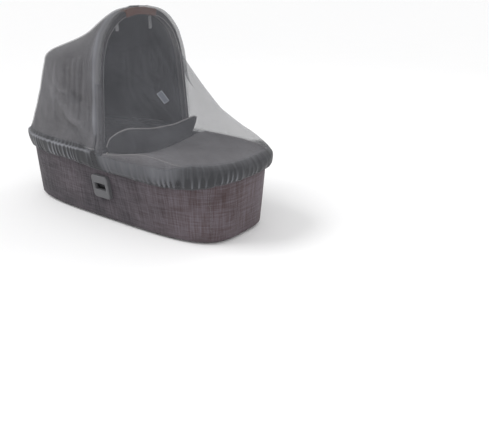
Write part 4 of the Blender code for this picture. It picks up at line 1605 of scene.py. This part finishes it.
@dataclass
class Apron:
    """The cloth apron over the foot half, the wind flap along its free edge and the press stud."""

    shape: CotShape
    columns: int = 240
    thickness: float = 0.0025
    net_clear: float = 0.0055
    drop_out: float = 0.0074
    drop_z: float = 0.198
    crown: float = 0.002
    edge: float = 0.003
    inner_scale: float = 0.12
    seat: float = 0.0004
    flap_columns: int = 150
    flap_rows: int = 18
    flap_thickness: float = 0.002
    flap_bow: float = 0.003
    stud_at: tuple[float, float] = (0.051, -0.1825)
    stud_radius: float = 0.0045
    stud_height: float = 0.002
    flat: tuple[float, float] = (0.40, 0.42)
    flat_area: float = 0.135
    flap_flat: tuple[float, float] = (0.40, 0.075)
    stations: tuple[tuple[float, float, float, float, float], ...] = (
        (0.044, -0.174, 0.043, -0.177, 0.238),
        (0.060, -0.173, 0.058, -0.177, 0.262),
        (0.076, -0.172, 0.078, -0.177, 0.276),
        (0.108, -0.168, 0.108, -0.176, 0.293),
        (0.136, -0.155, 0.120, -0.163, 0.298),
        (0.149, -0.122, 0.125, -0.132, 0.293),
        (0.143, -0.065, 0.120, -0.063, 0.282),
        (0.126, 0.015, 0.110, 0.017, 0.275),
        (0.110, 0.085, 0.100, 0.093, 0.276),
        (0.098, 0.125, 0.090, 0.143, 0.277),
        (0.092, 0.148, 0.085, 0.160, 0.270),
    )

    def edge_x(self, y: float) -> float:
        """Where the apron's free edge runs."""
        places, across, *_ = zip(*self.stations)
        return float(np.interp(y, across, places)) - self.edge

    def turn_at(self, outline: Outline, x: float) -> float:
        """The turn at which the foot half of an outline reaches x."""
        share = (x - self.shape.hoop_x - self.shape.hoop_half_depth) / outline.foot_reach
        return math.asin(min(max(share, 0.0), 1.0) ** (outline.exponent / 2))

    def top(self, x: Array, y: Array) -> Array:
        """Height of the apron's upper face."""
        shape = self.shape
        inner = shape.rim_widest.grown(-shape.shoulder_inset - self.net_clear)
        along = np.maximum(x - shape.hoop_x - shape.hoop_half_depth, 0.0) / inner.foot_reach
        across = np.abs(y) / inner.half_width
        out = np.minimum((along**inner.exponent + across**inner.exponent) ** (1 / inner.exponent), 1.0)
        level = shape.shoulder_z - self.net_clear + self.crown * (1.0 - out**2)
        return level + shape.edge_rise(x, y) * out

    def waves(self, x: Array, y: Array) -> Array:
        """Slack in the apron's middle, where it lies over no rail."""
        free = ramp(np.abs(y), 0.155, -0.05) * ramp(x, 0.385, -0.06)
        slack = 0.0011 * np.sin(x * 26.0 + y * 17.0) + 0.0008 * np.sin(y * 41.0 - x * 19.0 + 0.8)
        return free * (slack - 0.0016)

    def row(self, outline: Outline, z: float | None) -> Array:
        """One ring of the apron, from its near free corner over the foot to the far one."""
        even = self.shape.even_turns(self.columns) / math.pi
        first = self.turn_at(outline, self.edge_x(-outline.half_width))
        last = math.pi - self.turn_at(outline, self.edge_x(outline.half_width))
        turn = first + (last - first) * even
        x, y = self.shape.plan(outline, turn, np.ones(turn.shape))
        if z is None:
            height = self.top(x, y) + self.waves(x, y)
        else:
            height = z + self.shape.edge_rise(x, y) * (z > self.drop_z)
        return np.stack([x, y, np.broadcast_to(height, x.shape)], 1)

    def cloth(self) -> Array:
        """The apron's upper surface as a grid, its drop outside the rail first."""
        shape = self.shape
        widest = shape.rim_widest.grown(-self.net_clear)
        shoulder = widest.grown(-shape.shoulder_inset)
        rings = [
            self.row(shape.tub_top.grown(self.drop_out), self.drop_z),
            self.row(widest, shape.widest_z_foot),
            self.row(shoulder, None),
            self.row(shoulder.grown(-0.012), None),
        ]
        rows = through(rings, [7, 6])
        for scale in np.linspace(1.0, self.inner_scale, 40):
            rows.append(self.row(shoulder.grown(-shoulder.half_width * (1.0 - float(scale))), None))
        return np.array([*rows, (rows[-1] + rows[-1][::-1]) / 2])

    def flap(self) -> Array:
        """The wind flap's middle surface as a grid, its base first."""
        marks = np.array(self.stations)
        run = np.concatenate([[0.0], np.cumsum(np.hypot(*np.diff(marks[:, :2], axis=0).T))])
        even = np.linspace(0.0, run[-1], self.flap_columns)
        share = even / run[-1]
        base_even = even - run[-1] * 0.13 * share**7
        bx, by = (smooth_read(run, marks[:, k], base_even) for k in range(2))
        tx, ty, tz = (smooth_read(run, marks[:, k], even) for k in range(2, 5))
        base = np.stack([bx, by, self.top(bx, by) + 2 * self.seat], 1)
        head = np.stack([tx, ty, tz + 0.0006 * np.sin(even * 60.0)], 1)
        rows = []
        for share in np.linspace(0.0, 1.0, self.flap_rows):
            line = base + (head - base) * share
            bulge = self.flap_bow * 4 * share * (1 - share)
            ripple = 0.0012 * math.sin(math.pi * share) * np.sin(even * 47.0 + 2.0 * share)
            line[:, 0] += bulge + ripple
            rows.append(line)
        return np.array(rows)

    def build(self) -> list[bpy.types.Object]:
        """The apron, its edge piping, the flap with its piped top edge, and the stud."""
        grid = self.cloth()
        apron = lay_grid("apron_cover", grid, Finish.APRON, False, None, 0.0001)
        face_out(apron, COT_MIDDLE)
        thicken(apron, self.thickness)
        piping = piped("apron_piping", grid[12] + (0.0, 0.0, 0.0008), 0.0013)
        seam = stitched("apron_stitches", [grid[17] + (0.0, 0.0, 0.0002)])
        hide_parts("apron")
        trim(apron)
        face = self.flap()
        flap = lay_grid("flap_cover", face, Finish.FLAP, False)
        thicken(flap, self.flap_thickness, 0.0)
        cord = piped("flap_piping", face[-1], 0.0021)
        hem = stitched("flap_stitches", [face[-3] - (0.0014, 0.0, 0.0)])
        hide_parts("apron_flap")
        trim(flap)
        return [apron, piping, seam, flap, cord, hem, self.stud()]

    def stud(self) -> bpy.types.Object:
        """The ring-shaped press stud at the near foot of the flap."""
        x, y = self.stud_at
        base = float(self.top(np.array([x]), np.array([y]))[0]) + self.seat
        middle, tube = self.stud_radius * 0.68, self.stud_radius * 0.32
        around = np.linspace(0.0, 2 * math.pi, 33)[:-1]
        rows = []
        for turn in np.linspace(0.0, 2 * math.pi, 17):
            radius = middle + tube * math.cos(turn)
            height = np.full(32, base + self.stud_height / 2 * (1.0 + math.sin(turn)))
            rows.append(np.stack([x + radius * np.cos(around), y + radius * np.sin(around), height], 1))
        stud = lay_grid("flap_press_stud", np.array(rows), Finish.METAL, True, None, 1e-5)
        face_out(stud)
        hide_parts("flap_stud")
        return trim(stud)


# The tub


@dataclass
class Tub:
    """The cloth-covered tub, its rim rail and the two mounting plates."""

    shape: CotShape
    half_columns: int = 200
    wall: float = 0.008
    floor: float = 0.010
    floor_corner: float = 0.014
    floor_inset: float = 0.012
    edge_radius: float = 0.018
    rail_in: float = 0.012
    rail_bevel: float = 0.004
    seat: float = 0.0004
    plate_x: tuple[float, float] = (-0.024, 0.044)
    plate_z: tuple[float, float] = (0.080, 0.150)
    plate_thick: float = 0.013
    slot_x: tuple[float, float] = (-0.014, 0.032)
    slot_z: tuple[float, float] = (0.106, 0.126)
    plate_corner: float = 0.010
    slot_corner: float = 0.003
    plate_edge: float = 0.0030
    slot_edge: float = 0.0016
    seam_turns: tuple[float, ...] = (1.02, math.pi - 1.02)
    seam_width: float = 0.005238
    seam_depth: float = 0.0009
    seam_lean: float = 0.35
    creases: tuple[Crease, ...] = (
        Crease(((-0.205, 0.166), (-0.160, 0.150), (-0.120, 0.147)), 0.0026, 0.0065),
        Crease(((-0.150, 0.158), (-0.118, 0.138), (-0.085, 0.131)), -0.0024, 0.0070),
        Crease(((0.085, 0.152), (0.120, 0.120), (0.150, 0.104)), 0.0014, 0.0110),
        Crease(((0.250, 0.148), (0.228, 0.095), (0.222, 0.045)), 0.0012, 0.0120),
        Crease(((-0.330, 0.160), (-0.300, 0.110), (-0.292, 0.060)), 0.0014, 0.0120),
    )

    def outer(self, turn: Array, end: Array) -> list[Array]:
        """Rows of the outer cloth, from the bottom's middle up to the top edge."""
        shape = self.shape
        rows = []
        for share in (0.0, 0.25, 0.5, 0.75, 0.93):
            row = shape.ring(shape.tub_at(0.0).grown(-self.edge_radius), 0.0, turn, end)
            row[:, :2] = (shape.hoop_x, 0.0) + (row[:, :2] - (shape.hoop_x, 0.0)) * share
            rows.append(row)
        for angle in np.linspace(0.0, math.pi / 2, 9):
            inset = self.edge_radius * (1.0 - math.sin(angle))
            z = self.edge_radius * (1.0 - math.cos(angle))
            rows.append(shape.ring(shape.tub_at(z).grown(-inset), z, turn, end))
        for z in np.linspace(self.edge_radius, shape.tub_height, 62)[1:]:
            rows.append(shape.ring(shape.tub_at(float(z)), float(z), turn, end))
        return rows

    def inner(self, turn: Array, end: Array) -> list[Array]:
        """Rows of the inner wall and the floor, from the top edge to the floor's middle."""
        shape = self.shape
        rows = []
        for z in np.linspace(shape.tub_height, self.floor + self.floor_corner, 14):
            rows.append(shape.ring(shape.tub_at(float(z)).grown(-self.wall), float(z), turn, end))
        low = shape.tub_at(self.floor).grown(-self.wall - self.floor_inset)
        edge = shape.ring(low, self.floor, turn, end)
        for share in (1.0, 0.75, 0.5, 0.25, 0.0):
            row = edge.copy()
            row[:, :2] = (shape.hoop_x, 0.0) + (row[:, :2] - (shape.hoop_x, 0.0)) * share
            rows.append(row)
        return rows

    def seam_groove(self, turn: Array, z: Array) -> Array:
        """How deep the sewn seams press into the wall."""
        groove = np.zeros(np.broadcast(turn, z).shape)
        for seam in self.seam_turns:
            groove -= self.seam_depth * bell(turn, self.seam_at(seam, z), self.seam_width)
        return groove

    def seam_at(self, seam: float, z: Array | float) -> Array:
        """The turn of a seam, which leans outwards, at a height."""
        return seam + (z - 0.1) * self.seam_lean * np.sign(seam - math.pi / 2)

    def build_tub(self) -> list[bpy.types.Object]:
        """The tub's cloth, its seams and their stitches."""
        turn, end = self.shape.columns(self.half_columns)
        outer = np.array(self.outer(turn, end))
        normals = grid_normals(outer, True)
        side = np.zeros(outer.shape[:2])
        height = outer[..., 2]
        side[6:] = (ramp(height, 0.01, 0.03) * ramp(height, 0.1995, -0.02))[6:]
        relief = crease_relief(outer[..., 0], height, self.creases) * ramp(height, 0.160, -0.02)
        relief += self.seam_groove(turn[None, :], height) * (end > 0)
        outward = np.array([self.shape.hoop_x, 0.0, 0.1])
        facing = np.sign(np.sum(normals[20] * (outer[20] - outward), 1).mean())
        outer = outer + normals * facing * (relief * side)[..., None]
        grid = np.concatenate([outer, self.inner(turn, end)])
        tub = lay_grid("tub_cover", grid, Finish.TUB, True, None, 0.00005, anchor=15)
        face_out(tub)
        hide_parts("tub")
        trim(tub)
        lines = []
        foot = np.flatnonzero(end > 0)
        for seam in self.seam_turns:
            for shift in (-0.010, 0.010):
                line = []
                for row in outer[15:-16]:
                    lean = self.seam_at(seam, row[0, 2]) + shift
                    line.append(row[foot[int(np.argmin(np.abs(turn[foot] - lean)))]])
                lines.append(np.array(line))
        seams = stitched("tub_stitches", lines, (0.0042, 0.0030, 0.00035))
        edge = np.concatenate([outer[11], outer[11][:2]])
        return [tub, seams, piped("tub_piping", edge, 0.0014, Finish.TUB)]

    def rail_profile(self) -> list[tuple[float, float]]:
        """Points round the rail's section: outwards from the tub's top outline, and height."""
        shape, bevel = self.shape, self.rail_bevel
        seat = shape.tub_height + self.seat
        out, lip, half = shape.rail_out, shape.rail_lip_z, (shape.rail_lip_z + shape.rail_top) / 2
        points = [(self.seat, lip), (out - 0.001, lip), (out, lip + 0.001), (out, half)]
        for centre, start in ((out - bevel, 0.0), (bevel - self.rail_in, math.pi / 2)):
            for angle in np.linspace(start, start + math.pi / 2, 6):
                up = shape.rail_top - bevel + bevel * math.sin(angle)
                points.append((centre + bevel * math.cos(angle), up))
        return [*points, (-self.rail_in, seat), (self.seat, seat), points[0]]

    def build_rail(self) -> bpy.types.Object:
        """The rim rail."""
        turn, end = self.shape.columns(self.half_columns)
        top = self.shape.tub_top
        rows = [self.shape.ring(top.grown(out), z, turn, end) for out, z in self.rail_profile()]
        rail = lay_grid("rim_rail", np.array(rows), Finish.PLASTIC, True, None, 0.00002)
        face_out(rail)
        rail.data.set_sharp_from_angle(angle=math.radians(50))
        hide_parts("rim")
        return trim(rail)

    def rounded(
        self, span_x: Sequence[float], span_z: Sequence[float], corner: float
    ) -> list[tuple[float, float]]:
        """A rectangle's outline with round corners."""
        points = []
        for k, (x, z) in enumerate(((1, 1), (0, 1), (0, 0), (1, 0))):
            centre_x = span_x[x] + (corner if x == 0 else -corner)
            centre_z = span_z[z] + (corner if z == 0 else -corner)
            for angle in np.linspace(k * math.pi / 2, (k + 1) * math.pi / 2, 7):
                points.append((centre_x + corner * math.cos(angle), centre_z + corner * math.sin(angle)))
        return points

    def drawn_in(self, points: list[tuple[float, float]], amount: float) -> list[tuple[float, float]]:
        """An outline moved towards the plate's middle."""
        middle = np.array([(sum(self.plate_x) / 2, sum(self.plate_z) / 2)])
        away = np.array(points) - middle
        length = np.maximum(np.linalg.norm(away, axis=1, keepdims=True), 1e-6)
        return [tuple(point) for point in middle + away * (1.0 - amount / length)]

    def on_wall(self, points: list[tuple[float, float]], side: int, depth: float) -> Array:
        """Points laid a distance outside the tub's wall."""
        return np.array([(x, side * (self.shape.tub_at(z).half_width + depth), z) for x, z in points])

    def build_plate(self, side: int) -> list[bpy.types.Object]:
        """One mounting plate with its rounded edges, its slot and the dark bottom of the slot."""
        plate = self.rounded(self.plate_x, self.plate_z, self.plate_corner)
        slot = self.rounded(self.slot_x, self.slot_z, self.slot_corner)
        face = self.seat + self.plate_thick
        rows = [self.on_wall(slot, side, self.seat), self.on_wall(plate, side, self.seat)]
        for angle in np.linspace(0.0, math.pi / 2, 6):
            inset, drop = self.plate_edge * (1.0 - math.cos(angle)), self.plate_edge * (1.0 - math.sin(angle))
            rows.append(self.on_wall(self.drawn_in(plate, inset), side, face - drop))
        rows.append(self.on_wall(self.drawn_in(slot, -self.slot_edge), side, face))
        rows.append(self.on_wall(slot, side, face - self.slot_edge))
        rows.append(rows[0])
        name = "near" if side < 0 else "far"
        body = lay_grid(f"adapter_{name}_plate", np.array(rows), Finish.PLASTIC, True, None, 1e-5)
        face_out(body)
        body.data.set_sharp_from_angle(angle=math.radians(48))
        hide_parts(f"adapter_{name}")
        top, low = (self.on_wall(slot, side, self.seat + up) for up in (0.0008, 0.0001))
        closed = [np.broadcast_to(ring.mean(0), ring.shape) for ring in (low, top)]
        grid = np.array([closed[0], low, top, closed[1]])
        pocket = lay_grid(f"adapter_{name}_pocket", grid, Finish.DARK_PLASTIC, True, None, 1e-5)
        face_out(pocket)
        return [trim(body), trim(pocket)]

    def build(self) -> list[bpy.types.Object]:
        """Every piece of the tub."""
        return [*self.build_tub(), self.build_rail(), *self.build_plate(-1), *self.build_plate(1)]


# The studio


@dataclass
class Studio:
    """The pale floor, the soft lights and the camera at the photo's angle."""

    floor_half: float = 40.0
    floor_z: float = -0.0006
    camera_at: tuple[float, float, float] = (1.3118, -1.2282, 0.6723)
    camera_down: float = 22.15
    camera_turn: float = 36.74
    lens: float = 42.99
    world: float = 0.68
    sun_from: tuple[float, float, float] = (-0.85, -0.62, 1.15)
    sun_power: float = 1.5
    sun_spread: float = 34.0
    lights_aim: tuple[float, float, float] = (0.0, 0.0, 0.25)
    lights: tuple[tuple[tuple[float, float, float], float, float], ...] = (
        ((2.1, -1.1, 1.6), 1.4, 13.0),
        ((0.6, 1.9, 2.0), 1.4, 8.0),
    )

    def build(self) -> None:
        """Sets the floor, the world, the lights and the camera."""
        half = self.floor_half
        corners = [(-half, -half), (half, -half), (half, half), (-half, half)]
        mesh = bpy.data.meshes.new("floor")
        mesh.from_pydata([(x, y, self.floor_z) for x, y in corners], [], [(0, 1, 2, 3)])
        floor = add_piece("studio_floor", mesh, Finish.FLOOR)
        scene = bpy.context.scene
        scene.view_settings.view_transform = "Standard"
        scene.world = bpy.data.worlds.new("studio")
        scene.world.use_nodes = True
        sky = scene.world.node_tree.nodes["Background"]
        sky.inputs["Color"].default_value = (1.0, 1.0, 1.0, 1.0)
        sky.inputs["Strength"].default_value = self.world
        for number, (place, size, power) in enumerate(self.lights):
            lamp = bpy.data.lights.new(f"soft_{number}", "AREA")
            lamp.size = size
            lamp.energy = power
            holder = bpy.data.objects.new(f"soft_{number}", lamp)
            holder.location = place
            aim = Vector(self.lights_aim) - Vector(place)
            holder.rotation_euler = aim.to_track_quat("-Z", "Y").to_euler()
            scene.collection.objects.link(holder)
        lamp = bpy.data.lights.new("sun", "SUN")
        lamp.energy = self.sun_power
        lamp.angle = math.radians(self.sun_spread)
        holder = bpy.data.objects.new("sun", lamp)
        holder.rotation_euler = (-Vector(self.sun_from)).to_track_quat("-Z", "Y").to_euler()
        scene.collection.objects.link(holder)
        camera = bpy.data.cameras.new("camera")
        camera.lens = self.lens
        camera.clip_start = 0.02
        camera.clip_end = 200.0
        holder = bpy.data.objects.new("camera", camera)
        holder.location = self.camera_at
        holder.rotation_euler = (math.radians(90.0 - self.camera_down), 0.0, math.radians(self.camera_turn))
        scene.collection.objects.link(holder)
        scene.camera = holder


def main() -> None:
    """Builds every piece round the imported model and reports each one."""
    logging.basicConfig(level=logging.INFO, format="%(name)s: %(message)s")
    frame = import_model()
    log.info("%d packed nodes", len(frame["nodes"]))
    shape = CotShape()
    for group in (Tub(shape), Apron(shape), Hood(shape), NetCover(shape)):
        for piece in group.build():
            log.info("%s: %d faces", piece.name, len(piece.data.polygons))
    Studio().build()


if __name__ == "__main__":
    main()
